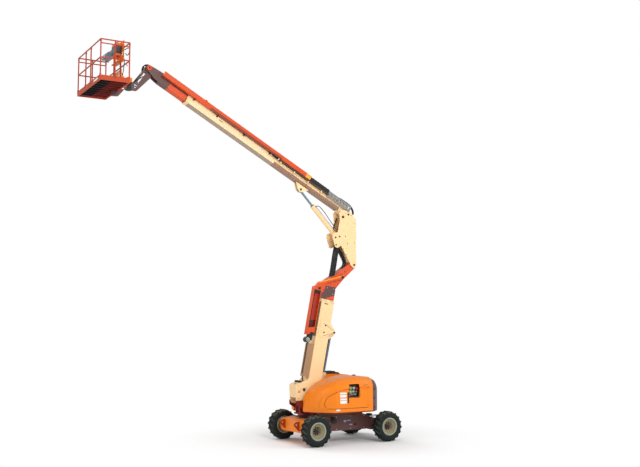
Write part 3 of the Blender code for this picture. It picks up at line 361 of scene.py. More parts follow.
# --- Steering knuckles ---
# Cast iron, brushed with dark paint, and dusty from the road.
wear(iron, "knuckle_left", "knuckle_right")
KINGPIN_Y, STEERING_X = 0.79, -1.525
SIDES = ((1, "left"), (-1, "right"))
pale_steel = enamel("pale_link", (150, 150, 140), 0.5, metallic=0.3)
turned("steering_barrel", "chassis", black, [(xyz(STEERING_X, -0.36, WHEEL_Z), (0, 1, 0))],
       [(0.045, 0), (0.05, 0.01), (0.05, 0.71), (0.045, 0.72)])
turned("steering_rod_shown", "chassis", zinc, [(xyz(STEERING_X, -0.53, WHEEL_Z), (0, 1, 0))],
       [(0.022, 0), (0.022, 1.06)], 24)
blocks("steering_clamps", "chassis", black,
       [(-1.56, -1.465, y - 0.03, y + 0.03, 0.40, 0.52) for y in (-0.28, 0.28)])
for side, hand in SIDES:
    knuckle = f"knuckle_{hand}"
    y, out = side * KINGPIN_Y, (0, side, 0)
    pivots = [(xyz(-AXLE_X, y, 0.62), UP), (xyz(-AXLE_X, y, 0.32), (0, 0, -1))]
    turned(f"kingpin_caps_{hand}", "chassis", zinc, pivots,
           [(0.05, -0.002), (0.05, 0.012), (0.03, 0.022)])
    turned(f"hub_flange_{hand}", knuckle, iron, [(xyz(-AXLE_X, side * 0.97, WHEEL_Z), out)],
           [(0.14, 0), (0.14, 0.03)])
    ring = ring_of(xyz(-AXLE_X, side * 0.968, WHEEL_Z), (0, -side, 0), 0.12, 12)
    bolts(f"hub_flange_bolts_{hand}", knuckle, zinc, ring, 0.010)
    hoses(f"steering_link_{hand}", "chassis", pale_steel, [[
        (STEERING_X, side * 0.50, WHEEL_Z), (-1.50, side * 0.62, 0.455), (-1.45, y, 0.452),
    ]], 0.018, across=(knuckle, (STEERING_X, side * 0.54, WHEEL_Z), (-1.46, y, 0.452)))
    hoses(f"drive_hoses_{hand}", "chassis", hose_rubber, [
        [(-1.00, side * 0.50, 0.70 + lift), (-1.12, side * 0.66, 0.74 + lift),
         (-1.20, side * 0.78, 0.68 + lift), (-1.22, side * 0.88, 0.56 + lift)]
        for lift in (0.0, 0.035)
    ], across=(knuckle, (-1.10, side * 0.62, 0.72), (-1.21, side * 0.80, 0.62)))
blocks("axle_valve", "chassis", black,
       [(-1.12, -0.99, y, y + 0.16, 0.725, 0.80) for y in (0.30, -0.46)])

# --- Tyres ---
# Foam-filled rough-terrain tyres: a smooth casing, and bars that run slantwise from the middle over
# the shoulder, left and right in turn. The rubber is greenish black, and grey with dust on what
# faces up, which also serves as a painted highlight on the tread's tops.
WHEELS = {  # ending of the names: x ahead of the swing axis, y
    "front_left": (AXLE_X, 1.065), "front_right": (AXLE_X, -1.065),
    "rear_left": (-AXLE_X, 1.065), "rear_right": (-AXLE_X, -1.065),
}
BAR_COUNT = 17
CASING = [  # radius and distance from the middle plane, one half of the section
    (0.2705, 0.150), (0.285, 0.164), (0.302, 0.1725), (0.33, 0.1765), (0.384, 0.1755),
    (0.412, 0.155), (0.430, 0.128), (0.4335, 0.09), (0.434, 0.0),
]
BAR = [  # how far along the tread's side, lead round the wheel in degrees, outer radius
    (-0.02, -4.0, 0.4597), (0.05, 0.3, 0.4597), (0.105, 3.7, 0.4595), (0.137, 5.6, 0.4575),
    (0.160, 7.3, 0.432), (0.1795, 9.0, 0.400),
]
BAR_HALF_DEGREES = 2.8


def add_casing(bm):
    """Adds the casing, turned about the wheel's axis."""
    profile = [(r, -y) for r, y in CASING] + [(r, y) for r, y in reversed(CASING[:-1])]
    verts = [bm.verts.new((0, y, r)) for r, y in profile]
    edges = [bm.edges.new((verts[i - 1], verts[i])) for i in range(len(verts))]
    bmesh.ops.spin(
        bm, geom=verts + edges, cent=(0, 0, 0), axis=(0, 1, 0), angle=math.tau, steps=72
    )


def add_tread_bar(bm, side, turn):
    """Adds one bar of the tread, from the middle to one side, that far round the wheel."""
    rings = []
    for y, lead, outer in BAR:
        inner = outer - (0.034 if y < 0.17 else 0.02)
        ring = []
        for radius, half in ((inner, -1.25), (inner, 1.25), (outer, 1.0), (outer, -1.0)):
            at = turn + math.radians(lead + half * BAR_HALF_DEGREES)
            ring.append((radius * math.sin(at), side * y, radius * math.cos(at)))
        rings.append(ring)
    add_rings(bm, rings)


# Painted highlight: the heavy dust on upward faces also lightens the tread's tops as if lit.
rubber = enamel("tyre_rubber_dust_and_highlight", (27, 35, 32), 0.78, dust=0.5, mottle=0.25, peel=0.002, grain=160)
for ending, (x, y) in WHEELS.items():
    bm = bmesh.new()
    add_casing(bm)
    for side in (-1, 1):
        for k in range(BAR_COUNT):
            add_tread_bar(bm, side, math.tau * (k + 0.25 * side) / BAR_COUNT)
    bmesh.ops.translate(bm, verts=bm.verts, vec=xyz(x, y, WHEEL_Z))
    tyre = finished(bm, f"treaded_tyre_{ending}", rubber)
    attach(tyre, f"wheel_{ending}")
    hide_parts(f"tyre_{ending}")

# --- Rims ---
# Pressed steel discs in pale grey, dusty beige inside, each held by nuts round a dark hub.
rim_paint = enamel("rim_paint", (150, 156, 138), 0.5, dust=0.3, mottle=0.12)
cone_paint = enamel("rim_cone", (140, 128, 100), 0.6, dust=0.5, mottle=0.25)
hub_paint = enamel("hub_paint", (46, 42, 36), 0.55, dust=0.5, mottle=0.3)
CONE_RADIUS = 0.225
RIM = [  # radius and distance out from the middle plane
    (0.004, 0.0036), (0.118, 0.0036), (0.124, 0.010), (0.149, 0.078), (0.156, 0.083),
    (0.187, 0.089), (0.194, 0.094), (0.228, 0.143), (0.236, 0.1505), (0.252, 0.1515),
    (0.2655, 0.1512), (0.2697, 0.147), (0.2697, -0.1435), (0.24, -0.144), (0.24, -0.072),
    (0.20, -0.054), (0.004, -0.054),
]
HUB = [
    (0.085, 0.002), (0.085, 0.030), (0.078, 0.036), (0.064, 0.038), (0.060, 0.060), (0.052, 0.068),
    (0.004, 0.070),
]
for ending, (x, y) in WHEELS.items():
    body = f"wheel_{ending}"
    centre, out = xyz(x, y, WHEEL_Z), Vector((0, math.copysign(1, y), 0))
    bm = bmesh.new()
    add_turned(bm, centre, out, RIM, 72)
    for face in bm.faces:
        spot = face.calc_center_median() - centre
        reach = math.hypot(spot.x, spot.z)
        face.material_index = int(reach < CONE_RADIUS and spot.dot(out) > -0.02)
    rim = finished(bm, f"pressed_rim_{ending}", rim_paint, smooth=30)
    rim.data.materials.append(cone_paint)
    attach(rim, body)
    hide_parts(f"rim_{ending}")
    turned(f"hub_cap_{ending}", body, hub_paint, [(centre, out)], HUB)
    nuts = ring_of(centre + out * 0.004, out, 0.102, 9)
    bolts(f"wheel_nuts_{ending}", body, hub_paint, nuts, 0.013)
    cap_bolts = ring_of(centre + out * 0.037, out, 0.07, 6, 0.5)
    bolts(f"hub_cap_bolts_{ending}", body, zinc, cap_bolts, 0.006)

# --- Turntable, counterweight and hoods ---
# A welded frame, deep red as painted shade, carries the cast tail weight, brown as painted shade,
# and two moulded hoods with hinged doors. The brown skirts along the deck's edges are painted
# shade.
plastic = enamel("black_plastic", (30, 30, 30), 0.5, dust=0.3, peel=0.001, grain=200)
# Painted shade: the frame is deep red, the orange of the turntable in shade.
wear(enamel("frame_red_painted_shade", (122, 36, 26), 0.45), "turntable_frame")
# Painted shade: the counterweight faces away from the light and is painted brown.
wear(shade_brown, "counterweight")
HOODS = ("hood_left", "hood_right", "hood_door_left", "hood_door_right")
wear(orange, *HOODS)
wear(iron, "engine_block")
wear(plastic, "fuel_tank", "ground_control_box", "top_cover")
# Painted shade: brown skirts under the hoods.
blocks("deck_skirts", "turntable", shade_brown, [
    *[(-0.66, 0.98, y, y + 0.025, 0.825, 0.938) for y in (0.56, -0.585)],
    (-0.69, -0.665, -0.58, 0.58, 0.87, 0.938),
])


def skin_of(*names):
    """The outside of CAD pieces, for laying thin things on them."""
    meshes = bmesh.new()
    for name in names:
        meshes.from_mesh(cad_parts[name].data)
    skin = BVHTree.FromBMesh(meshes)
    meshes.free()
    return skin


hood_skin = skin_of(*HOODS, "counterweight")


def on_hood(x, z, side, proud=0.002, skin=hood_skin):
    """The place on the hood's outside, or on another skin's, at that x and z."""
    hit = skin.ray_cast(xyz(x, side * 1.6, z), Vector((0, -side, 0)))[0]
    return (x, (abs(hit.y) + proud) * side, z)


def seam_line(outline, side, proud=0.003):
    """A line on the hood: its x and z corners are smoothed and each point laid on the skin."""
    line = smooth_line([Vector((x, 0, z)) for x, z in outline])
    return [on_hood(x, z, side, proud) for x, _, z in line]


DOOR_SEAM = [
    (0.885, 1.12), (0.916, 1.18), (0.918, 1.26), (0.888, 1.345), (0.844, 1.423), (0.784, 1.476),
    (0.716, 1.522), (0.576, 1.592), (0.40, 1.626), (0.19, 1.662), (0.05, 1.686), (-0.20, 1.733),
    (-0.35, 1.753), (-0.497, 1.770),
]
for side, hand in SIDES:
    upper = [DOOR_SEAM] if side < 0 else [DOOR_SEAM[:10], DOOR_SEAM[-3:]]
    back = [(-0.498, z) for z in (1.09, 1.25, 1.45, 1.60, 1.68, 1.765)]
    low = [(x, 1.083) for x in (0.87, 0.80, 0.60, 0.30, 0.0, -0.30, -0.49)]
    seams = [seam_line(outline, side) for outline in (*upper, back, low)]
    hoses(f"door_seal_{hand}", "turntable", black, seams, 0.0055, fine=1)
    hinge = [(xyz(x, side * 1.1923, 1.70), (1, 0, 0)) for x in (-0.555, -0.40, -0.30)]
    turned(f"hinge_knuckles_{hand}", "turntable", orange, hinge, [(0.0145, 0), (0.0145, 0.045)], 16)
    foot = [on_hood(x, 1.0, side, 0.001) for x in (1.0, 0.8, 0.6, 0.3, 0.0, -0.3, -0.6)]
    hoses(f"hood_lip_{hand}", "turntable", orange, [[(x, y, 0.982) for x, y, z in foot]], 0.010,
          fine=3)


def plates(name, body, material, side, rows, thick=0.002):
    """Thin blank labels lying on the hood: rows of x0, x1, z0, z1."""
    bm = bmesh.new()
    for x0, x1, z0, z1 in rows:
        rings = []
        for x in (x0 + (x1 - x0) * i / 4 for i in range(5)):
            corners = ((z0, thick), (z1, thick), (z1, -0.001), (z0, -0.001))
            rings.append([xyz(*on_hood(x, z, side, proud)) for z, proud in corners])
        add_rings(bm, rings)
    settled(bm, name, body, material)


plates("blank_plates", "hood_door_left", blank_white, 1,
       [(0.27, 0.50, 1.42, 1.56), (0.26, 0.49, 1.23, 1.385)])
plates("blank_plate_rules", "hood_door_left", dark_red, 1,
       [(0.275, 0.495, 1.500, 1.512), (0.265, 0.485, 1.322, 1.332)], 0.0035)
LATCH = [(0.195, 0.235, 1.24, 1.56)]
plates("door_latch", "hood_door_left", black, 1, LATCH, 0.012)
plates("door_latch_right", "hood_door_right", black, -1, LATCH, 0.012)
plates("blank_plate_low", "turntable", blank_white, 1, [(0.50, 0.63, 1.02, 1.065)])
plates("blank_plates_right", "hood_door_right", blank_white, -1, [(0.30, 0.52, 1.30, 1.45)])
louvres = [(-0.40 + 0.075 * k, -0.365 + 0.075 * k, 1.20, 1.58) for k in range(6)]
plates("cooling_slots", "hood_door_right", black, -1, louvres, 0.006)

# --- Ground controls ---
# Behind the opening in the left hood: a black panel with round gauges, switches and a stop knob.
gauge_face = enamel("gauge_face", (150, 168, 60), 0.3, dust=0, mottle=0.1)
stop_red = enamel("stop_knob", (190, 30, 24), 0.35, dust=0)
WINDOW = [
    (0.168, 1.69), (0.168, 1.60), (0.168, 1.412), (-0.01, 1.41), (-0.188, 1.412), (-0.188, 1.60),
    (-0.188, 1.69),
]
PANEL_Y = 1.10
trim = [on_hood(x + math.copysign(0.007, x + 0.01), z + math.copysign(0.006, z - 1.6), 1)
        for x, z in WINDOW]
hoses("window_trim", "hood_door_left", black, [trim], 0.007, fine=4)
GAUGE_SPOTS = ((0.085, 1.675), (-0.03, 1.675), (0.085, 1.56))
gauges = [(xyz(x, PANEL_Y, z), (0, 1, 0)) for x, z in GAUGE_SPOTS]
turned("gauge_rims", "turntable", zinc, gauges, [(0.043, 0), (0.043, 0.014), (0.036, 0.018)], 32)
turned("gauge_faces", "turntable", gauge_face, gauges, [(0.035, 0.014), (0.035, 0.0195)], 32)
needles = [(x - 0.003, x + 0.003, 1.119, 1.122, z - 0.006, z + 0.028) for x, z in GAUGE_SPOTS]
blocks("gauge_needles", "turntable", black, needles, 0.0008)
turned("stop_knob", "turntable", stop_red, [(xyz(-0.115, PANEL_Y, 1.66), (0, 1, 0))],
       [(0.016, 0), (0.016, 0.02), (0.032, 0.024), (0.034, 0.034), (0.022, 0.042)], 32)
levers = [(xyz(0.10 - 0.05 * k, PANEL_Y, 1.475), (0, 1, 0.35)) for k in range(5)]
turned("switch_levers", "turntable", zinc, levers,
       [(0.011, 0), (0.011, 0.008), (0.005, 0.01), (0.006, 0.04)], 16)
blocks("switch_guards", "turntable", gauge_face, [
    (x - 0.018, x + 0.018, 1.099, 1.103, 1.505, 1.518) for x in (0.10, 0.05, 0.0, -0.05, -0.10)
], 0.001)
blocks("key_switch", "turntable", zinc,
       [(-0.135, -0.10, 1.099, 1.116, 1.55, 1.585), (-0.06, 0.02, 1.099, 1.106, 1.545, 1.60)])

# --- Engine side and tail ---
# The cover over the engine is ribbed; an exhaust stub and a filler cap stand out.
ribs = [(x, x + 0.02, -0.82, -0.44, 2.05, 2.098) for x in (-0.30, -0.22, -0.14, -0.06, 0.02, 0.10)]
blocks("cover_ribs", "turntable", plastic, ribs, 0.003)
turned("exhaust_stub", "turntable", iron, [(xyz(0.52, -0.66, 1.90), (0.15, 0, 1))],
       [(0.05, 0), (0.05, 0.10), (0.042, 0.135)])
turned("filler_cap", "turntable", plastic, [(xyz(-0.35, 0.60, 2.012), UP)],
       [(0.055, 0), (0.055, 0.015), (0.045, 0.03), (0.02, 0.034)], 32)
tail_bolts = [(xyz(*on_hood(-0.80, z, side, 0.0)), (-0.45, side, 0))
              for side in (-1, 1) for z in (1.08, 1.35, 1.62)]
bolts("tail_weight_bolts", "turntable", iron, tail_bolts, 0.022)
slot_hoses = [
    [(0.75, y, 0.93), (1.00, y, 0.99), (1.22, y, z), (1.33, y, 1.40)]
    for y, z in ((0.155, 1.16), (0.175, 1.18), (0.195, 1.20))
]
hoses("heel_hoses", "turntable", hose_rubber, slot_hoses, 0.009,
      across=("tower", (1.10, 0.17, 1.05), (1.30, 0.17, 1.32)))

# --- Tower ---
# Two box sections of folded plate, the outer one cream. Its front tray is tan, which is painted
# shade, with hoses in it.
# The lift cylinder's eye sits between two shields behind.
CREAM, CLEAN = (241, 203, 150), {"dust": 0.12, "mottle": 0.03}
cream = enamel("cream_enamel", CREAM, 0.38, **CLEAN)
# Painted shade: the front tray is painted tan as shade.
tray_shade_tan = enamel("tray_shade_tan_enamel", (160, 124, 92), 0.45, mottle=0.06)
worn_hose = enamel("worn_hose", (98, 76, 58), 0.6)
rod_chrome = enamel("polished_rod", (120, 132, 146), 0.20, metallic=1.0, dust=0, mottle=0.03)
wear(cream, "tower_base", "tower_cyl_barrel")
wear(tray_shade_tan, "tower_tray")
wear(rod_chrome, "tower_cyl_rod", "main_cyl_rod")


def along_run(x, z, degrees):
    """Places on a run: s along it, n square to it in front, y across."""
    long, high = math.cos(math.radians(degrees)), math.sin(math.radians(degrees))

    def at(s, n, y=0.0):
        return x + s * long + n * high, y, z + s * high - n * long

    return at


tower_at, boom_at = along_run(1.25, 1.40, 101), along_run(-0.41, 7.09, 29)


def bars(name, body, material, at, rows, bevel=0.003):
    """Rounded boxes along a run in one piece: rows of s0, s1, n0, n1, y0, y1."""
    bm = bmesh.new()
    for s0, s1, n0, n1, y0, y1 in rows:
        foot = [xyz(*at(s, n, y0)) for s, n in ((s0, n0), (s1, n0), (s1, n1), (s0, n1))]
        add_prism(bm, foot, (0, y1 - y0, 0), bevel)
    settled(bm, name, body, material)


def both_sides(rows, height):
    """The same studs on the left and on the right: rows of x and z, at that y."""
    return [(xyz(x, side * height, z), (0, side, 0)) for x, z in rows for side in (-1, 1)]


def mirrored(rows):
    """Bars on the left side and their like on the right."""
    return [(*row[:4], *ends) for row in rows for ends in (row[4:], (-row[5], -row[4]))]


TOWER_SIDE, BOOM_SIDE, HEEL_SIDE = 0.2035, 0.1495, 0.2105  # the outsides of the side plates
TOWER_EYE = tower_at(2.112, -0.728)[::2]
bars("tower_lap_strips", "tower", cream, tower_at, mirrored([
    (0.62, 3.0, -0.150, -0.108, TOWER_SIDE, 0.209), (0.62, 3.0, -0.558, -0.520, TOWER_SIDE, 0.208),
]), 0.0015)
bars("tower_end_collar", "tower", cream, tower_at, [
    *[(3.00, 3.075, n, n + 0.016, -0.20, 0.20) for n in (-0.572, -0.109)],
    *mirrored([(3.00, 3.075, -0.54, -0.13, TOWER_SIDE, 0.216)]),
])
bars("tower_wear_pads", "tower", plastic, tower_at, mirrored([
    (3.055, 3.092, n, n + 0.10, 0.188, TOWER_SIDE) for n in (-0.50, -0.27)
]), 0.002)
bars("tower_slot_mark", "tower", black, tower_at, [(2.93, 2.955, -0.36, -0.22, 0.204, 0.2065)],
     0.001)
pad_bolts = [tower_at(s, n)[::2] for s in (3.02, 3.055) for n in (-0.48, -0.42, -0.25, -0.19)]
bolts("tower_pad_bolts", "tower", zinc, both_sides(pad_bolts, 0.216), 0.009)
# Painted shade: black discs stand for the holes in the shields, dark inside.
shield_hole_shades = both_sides([(0.44, 3.56), (0.50, 3.35)], 0.2165)
turned("shield_hole_shades", "tower", black, shield_hole_shades, [(0.026, -0.001), (0.026, 0.0012)], 24)
tower_skin = skin_of("tower_base")
# Painted shadow: thin dark lines along the shields' edges.
edges = []
for side in (-1, 1):
    for (x0, z0), (x1, z1) in (((0.545, 3.235), (0.17, 3.325)), ((0.495, 3.63), (0.17, 3.41))):
        line = [(x0 + (x1 - x0) * k / 8, z0 + (z1 - z0) * k / 8) for k in range(9)]
        edges.append([on_hood(x, z, side, 0.001, tower_skin) for x, z in line])
hoses("shield_edges", "tower", enamel("shield_edge_shadow", (112, 84, 60), 0.6), edges, 0.0045, fine=1)
bars("track_run", "tower", worn_hose, tower_at,
     [(1.90, 2.98, -0.104, n, y, y + 0.035) for n, y in ((-0.060, 0.10), (-0.050, 0.15))], 0.008)
turned("lug_pin_heads", "tower", iron, both_sides([TOWER_EYE], 0.226),
       [(0.036, 0), (0.036, 0.008), (0.02, 0.012)])
turned("heel_pin_heads", "tower", iron, both_sides([(1.208, 1.6159)], 0.222),
       [(0.05, -0.004), (0.05, 0.01), (0.035, 0.016)])
bolts("heel_bolts", "tower", zinc,
      both_sides([(1.30, 1.64), (1.12, 1.66), (1.41, 1.74), (1.41, 1.36)], 0.211), 0.012)
blocks("heel_strap", "tower", black,
       [(1.25, 1.33, -0.17, 0.17, 1.80, 1.885), (1.40, 1.45, 0.03, 0.12, 1.755, 1.80)])
blocks("heel_mark", "tower", stop_red, [(1.33, 1.41, HEEL_SIDE, 0.2125, 1.53, 1.59)], 0.0008)
blocks("heel_mark_rule", "tower", blank_white,
       [(1.335, 1.405, HEEL_SIDE, 0.2133, 1.552, 1.566)], 0.0005)
hoses("tray_hoses", "tower", worn_hose, [
    [tower_at(0.36, 0.0, y), tower_at(0.55, 0.06, y),
     *[tower_at(s, 0.094, y) for s in (0.74, 1.3, 1.66)]] for y in (0.085, 0.115, 0.145)
], 0.010)

# --- Tower fly ---
# The inner section ends in a bent nose. A painted shadow in brown lies on its side, cast by a
# channel that carries the hoses and hangs over its front. The channel's inside is painted deep red
# as shade, darker still at its lower end, with a painted highlight along its upper arm's top edge
# and black clamps where it bends.


def polygon(corners):
    """Planes that bound a convex outline of (x, z) corners, taken clockwise."""
    planes = []
    for (xa, za), (xb, zb) in zip(corners, corners[1:] + corners[:1]):
        long = math.hypot(xb - xa, zb - za)
        normal = ((zb - za) / long, 0, -(xb - xa) / long)
        planes.append((normal, normal[0] * (xa + MACHINE_X) + normal[2] * za))
    return planes


RED_ORANGE = (210, 76, 22)
# Painted shadow: the brown patch on the fly's side, where the channel shades it.
wear(enamel("fly_enamel_and_shadow", RED_ORANGE, 0.36, patches=[
    (SHADE_BROWN, polygon([(0.10, 4.49), (0.03, 4.76), (0.41, 4.80), (0.60, 4.36)])),
]), "tower_fly")
recess = [tower_at(*c)[::2] for c in ((3.305, 0.02), (3.305, 0.243), (2.10, 0.243), (2.16, 0.02))]
inside = [*polygon(recess), ((0, -1, 0), -0.262)]
# Painted shade: deeper red inside the channel's recess and darker still at its lower end; a painted
# highlight along the upper arm's top edge.
wear(enamel("channel_enamel_shade_highlight", RED_ORANGE, 0.36, patches=[
    ((158, 44, 22), inside), ((84, 22, 20), [*inside, ((0, 0, -1), -3.74)]),
    ((246, 140, 30), [((0.2375, 0, 0.9714), 4.165), ((-1, 0, 0), -(0.70 + MACHINE_X))]),
]), "tower_channel")
wear(black, "tower_chain")
hoses("channel_hoses", "tower_fly", hose_rubber, [
    [*[tower_at(s, n, 0.210) for s in (2.10, 2.5, 3.0)], tower_at(3.28, n - 0.004, 0.210)]
    for n in (0.196, 0.222)
], 0.010)
bars("channel_clamps", "tower_fly", black, tower_at, [
    (3.22, 3.30, 0.02, 0.245, 0.268, 0.279), (3.335, 3.40, 0.04, 0.12, 0.268, 0.284),
    (1.90, 1.98, 0.03, 0.14, 0.268, 0.278),
])
blocks("channel_end_bracket", "tower_fly", black, [(-0.20, -0.115, 0.170, 0.283, 5.035, 5.115)])
roller = [(xyz(*tower_at(1.735, 0.185, 0.258)), (0, 1, 0))]
turned("track_roller", "tower_fly", pale_steel, roller,
       [(0.07, 0), (0.07, 0.008), (0.05, 0.012), (0.05, 0.02), (0.02, 0.024)])
links = [(1.76 + 0.034 * k, 1.784 + 0.034 * k, 0.03, 0.18, 0.125, 0.233) for k in range(5)]
bars("track_links", "tower_fly", iron, tower_at, links)
bolts("fly_side_bolts", "tower_fly", zinc,
      both_sides([(0.12, 4.70), (0.36, 4.74), (0.16, 4.53)], 0.185), 0.010)
bolts("nose_bolts", "tower_fly", iron,
      both_sides([(-0.30, 5.26), (-0.16, 5.16)], 0.1655), 0.012)


def cylinder_trim(prefix, barrel, foot, eye, length, radius, up=None):
    """The gland, ports and pipe of a lift cylinder, which ride on its barrel."""
    foot, eye = xyz(foot[0], 0, foot[1]), xyz(eye[0], 0, eye[1])
    way = (eye - foot).normalized()
    up = up or way.cross(Vector((0, 1, 0)))
    bands = [(foot + way * (length - 0.055), way), (foot + way * 0.13, way)]
    inner, outer = radius - 0.004, radius + 0.010
    turned(f"{prefix}_glands", barrel, cream, bands,
           [(inner, 0), (outer, 0.004), (outer, 0.05), (inner, 0.054)], ring=True)
    inner, outer = radius * 0.72, radius * 0.9
    turned(f"{prefix}_wiper", barrel, black, [(foot + way * length, way)],
           [(inner, -0.003), (outer, -0.003), (outer, 0.004), (inner, 0.007)], ring=True)
    ports = [(foot + way * s + up * (radius - 0.004), up) for s in (0.20, length - 0.10)]
    turned(f"{prefix}_ports", barrel, zinc, ports,
           [(0.02, 0), (0.02, 0.02), (0.013, 0.022), (0.013, 0.038)], 6)
    bm = bmesh.new()
    middle = [foot + way * s + up * (radius + 0.03) for s in (length - 0.16, length / 2, 0.26)]
    add_hose(bm, [ports[1][0] + up * 0.03, *middle, ports[0][0] + up * 0.03], 0.009)
    settled(bm, f"{prefix}_pipe", barrel, zinc)


cylinder_trim("tower_cyl", "tower_cyl_barrel", (0.62, 1.00), TOWER_EYE, 1.13, 0.075,
              up=Vector((0, 1, 0)))

# --- Upright ---
# Two cream plates on the tower's nose. Dark pins stand out of them, a thick bundle of hoses rises
# from the tower into them, and a second one follows their lower edge.
wear(cream, "upright")
PIN_HEADS = [  # x, z and radius
    (-0.21, 7.00, 0.046), (0.07, 6.33, 0.028), (0.05, 6.10, 0.024), (-0.08, 6.37, 0.026),
    (-0.62, 5.48, 0.036), (-0.41, 7.09, 0.034), (-0.37, 6.15, 0.012), (-0.30, 6.38, 0.012),
]
for k, (x, z, radius) in enumerate(PIN_HEADS):
    turned(f"upright_pin_{k}", "upright", hub_paint, both_sides([(x, z)], 0.2168),
           [(radius, 0), (radius, 0.005), (radius * 0.7, 0.009)], 32)
bolts("upright_bolts", "upright", iron, both_sides([
    (-0.23, 5.98), (-0.33, 5.80), (-0.64, 6.80), (-0.64, 6.20), (-0.30, 7.12), (-0.52, 7.06),
], 0.2055), 0.009)
hoses("upright_edge_welds", "upright", cream, [
    [(-0.685, y, 5.86), (-0.685, y, 6.79)] for y in (-0.165, 0.165)
], 0.007, fine=2)
SLEEVE_LINE = [  # x, z, share of the spread across
    (0.16, 4.97, 0.85), (0.09, 5.12, 1), (0.02, 5.45, 1), (-0.04, 5.80, 1), (-0.10, 6.08, 1),
    (-0.16, 6.34, 0.9),
]
sleeve = [[(x + 0.022 * (k % 2), (-0.128 + 0.032 * k) * share, z) for x, z, share in SLEEVE_LINE]
          for k in range(9)]
hoses("hose_sleeve", "tower_fly", hose_rubber, sleeve, 0.027,
      across=("upright", (0.08, 0, 5.14), (-0.09, 0, 6.02)))
under_edge = [
    [(x, y, z) for x, z in (
        (0.06, 5.10), (-0.10, 5.20), (-0.28, 5.36), (-0.37, 5.50), (-0.36, 5.66), (-0.24, 5.86),
        (-0.12, 6.04), (-0.14, 6.25),
    )] for y in (-0.06, 0.0, 0.06)
]
hoses("lower_hoses", "tower_fly", hose_rubber, under_edge, 0.030,
      across=("upright", (-0.10, 0, 5.22), (-0.34, 0, 5.72)))
hoses("front_edge_hoses", "upright", hose_rubber, [
    [(-0.02, y, 6.52), (-0.06, y, 6.66), (-0.13, y, 6.84), (-0.18, y, 6.98)]
    for y in (-0.148, -0.116, 0.150)
], 0.014)

# --- Main boom ---
# A long cream box with painted shade: brown along its lower side near the root and a darker band
# along its lower edge beyond. A push tube and a hose track lie on its left side, over a tray of
# hoses, with a slotted grey guard at the tail. Tube and tray carry painted shade, the tube's end a
# painted highlight.


def run_patch(s0, s1, n0, n1):
    """The planes around a stretch of the boom, from s0 to s1 along it and n0 to n1 across."""
    return polygon([boom_at(*c)[::2] for c in ((s0, n1), (s0, n0), (s1, n0), (s1, n1))])


# Painted shade: brown on the lower side near the root, and a darker band along the lower edge.
wear(enamel("boom_enamel_and_shade", (244, 214, 168), 0.38, **CLEAN, patches=[
    ((150, 112, 90), run_patch(0.36, 3.03, -0.035, 0.06)),
    ((166, 144, 120), run_patch(3.03, 6.6, 0.036, 0.06)),
]), "main_base")
# Painted shade along the lower side of the tube, and a painted highlight on its rear end.
tube_paint_shade_highlight = enamel("push_tube_enamel_shade_highlight", RED_ORANGE, 0.40, peel=0.0004, patches=[
    ((132, 58, 40), run_patch(2.9, 5.6, -0.225, -0.1)),
    ((250, 160, 50), run_patch(1.70, 1.93, -0.4, 0.0)),
])
# Painted shade: dark above the tray's lip, in the gap under the push tube.
wear(enamel("boom_tray_enamel_and_shade", CREAM, 0.38, **CLEAN, patches=[
    ((62, 50, 42), [*run_patch(0.95, 2.97, -0.3, -0.10), ((0, 1, 0), 0.19)]),
]), "main_tray")
wear(cream, "main_cyl_barrel")
wear(tube_paint_shade_highlight, "main_push_tube")
wear(black, "main_chain")
guard_grey = enamel("guard_grey", (126, 128, 130), 0.5, metallic=0.3)
wear(guard_grey, "hose_guard")
tray_lines = []
for k in range(4):
    y, n = 0.178 + 0.026 * k, -0.137 - 0.004 * (k % 2)
    tray_lines.append([boom_at(s, n, y) for s in (0.92, 1.6, 2.4, 3.02 + 0.1 * k)])
    if k:
        tray_lines.append([boom_at(s, -0.157, y - 0.012) for s in (1.02, 1.8, 2.6, 3.2)])
hoses("boom_tray_hoses", "main_boom", hose_rubber, tray_lines, 0.0105)
bars("tray_clamps", "main_boom", black, boom_at, [
    (s, s + 0.05, -0.160, -0.126, 0.153, 0.285) for s in (1.10, 1.95, 2.96)
], 0.004)
bars("tray_stays", "main_boom", cream, boom_at, [
    (s, s + 0.035, -0.112, -0.06, BOOM_SIDE, 0.275) for s in (1.2, 1.75, 2.3, 2.85)
])
collar = ((-0.302, -0.2885, -0.145, 0.145), (0.0405, 0.054, -0.145, 0.145),
          (-0.28, 0.03, -0.161, -0.1485), (-0.16, 0.03, 0.1485, 0.158))
bars("boom_end_collar", "main_boom", cream, boom_at, [(6.23, 6.335, *row) for row in collar])
pads = ((-0.22, -0.12, -0.150, -0.137), (-0.07, 0.02, -0.150, -0.137),
        (-0.07, 0.02, 0.137, 0.150), (0.028, 0.0405, -0.10, 0.10))
bars("boom_wear_pads", "main_boom", plastic, boom_at, [(6.325, 6.36, *row) for row in pads], 0.002)
boom_bolts = [boom_at(s, n)[::2] for s in (6.26, 6.305) for n in (-0.13, -0.03)]
bolts("boom_pad_bolts", "main_boom", zinc, both_sides(boom_bolts, 0.159), 0.008)
ROLLERS = (3.3, 4.3, 5.3, 6.15)  # how far along the boom
rollers = [(xyz(*boom_at(s, -0.141, 0.152)), (0, 1, 0)) for s in ROLLERS]
turned("tube_rollers", "main_boom", black, rollers,
       [(0.022, -0.002), (0.022, 0.09), (0.012, 0.095)], 24)
bars("tube_roller_brackets", "main_boom", cream, boom_at,
     [(s - 0.04, s + 0.04, -0.150, -0.10, BOOM_SIDE, 0.158) for s in ROLLERS])
bars("boom_blank_band", "main_boom", cream, boom_at, [(3.5, 5.9, -0.016, -0.008, 0.149, 0.1515)],
     0.0006)
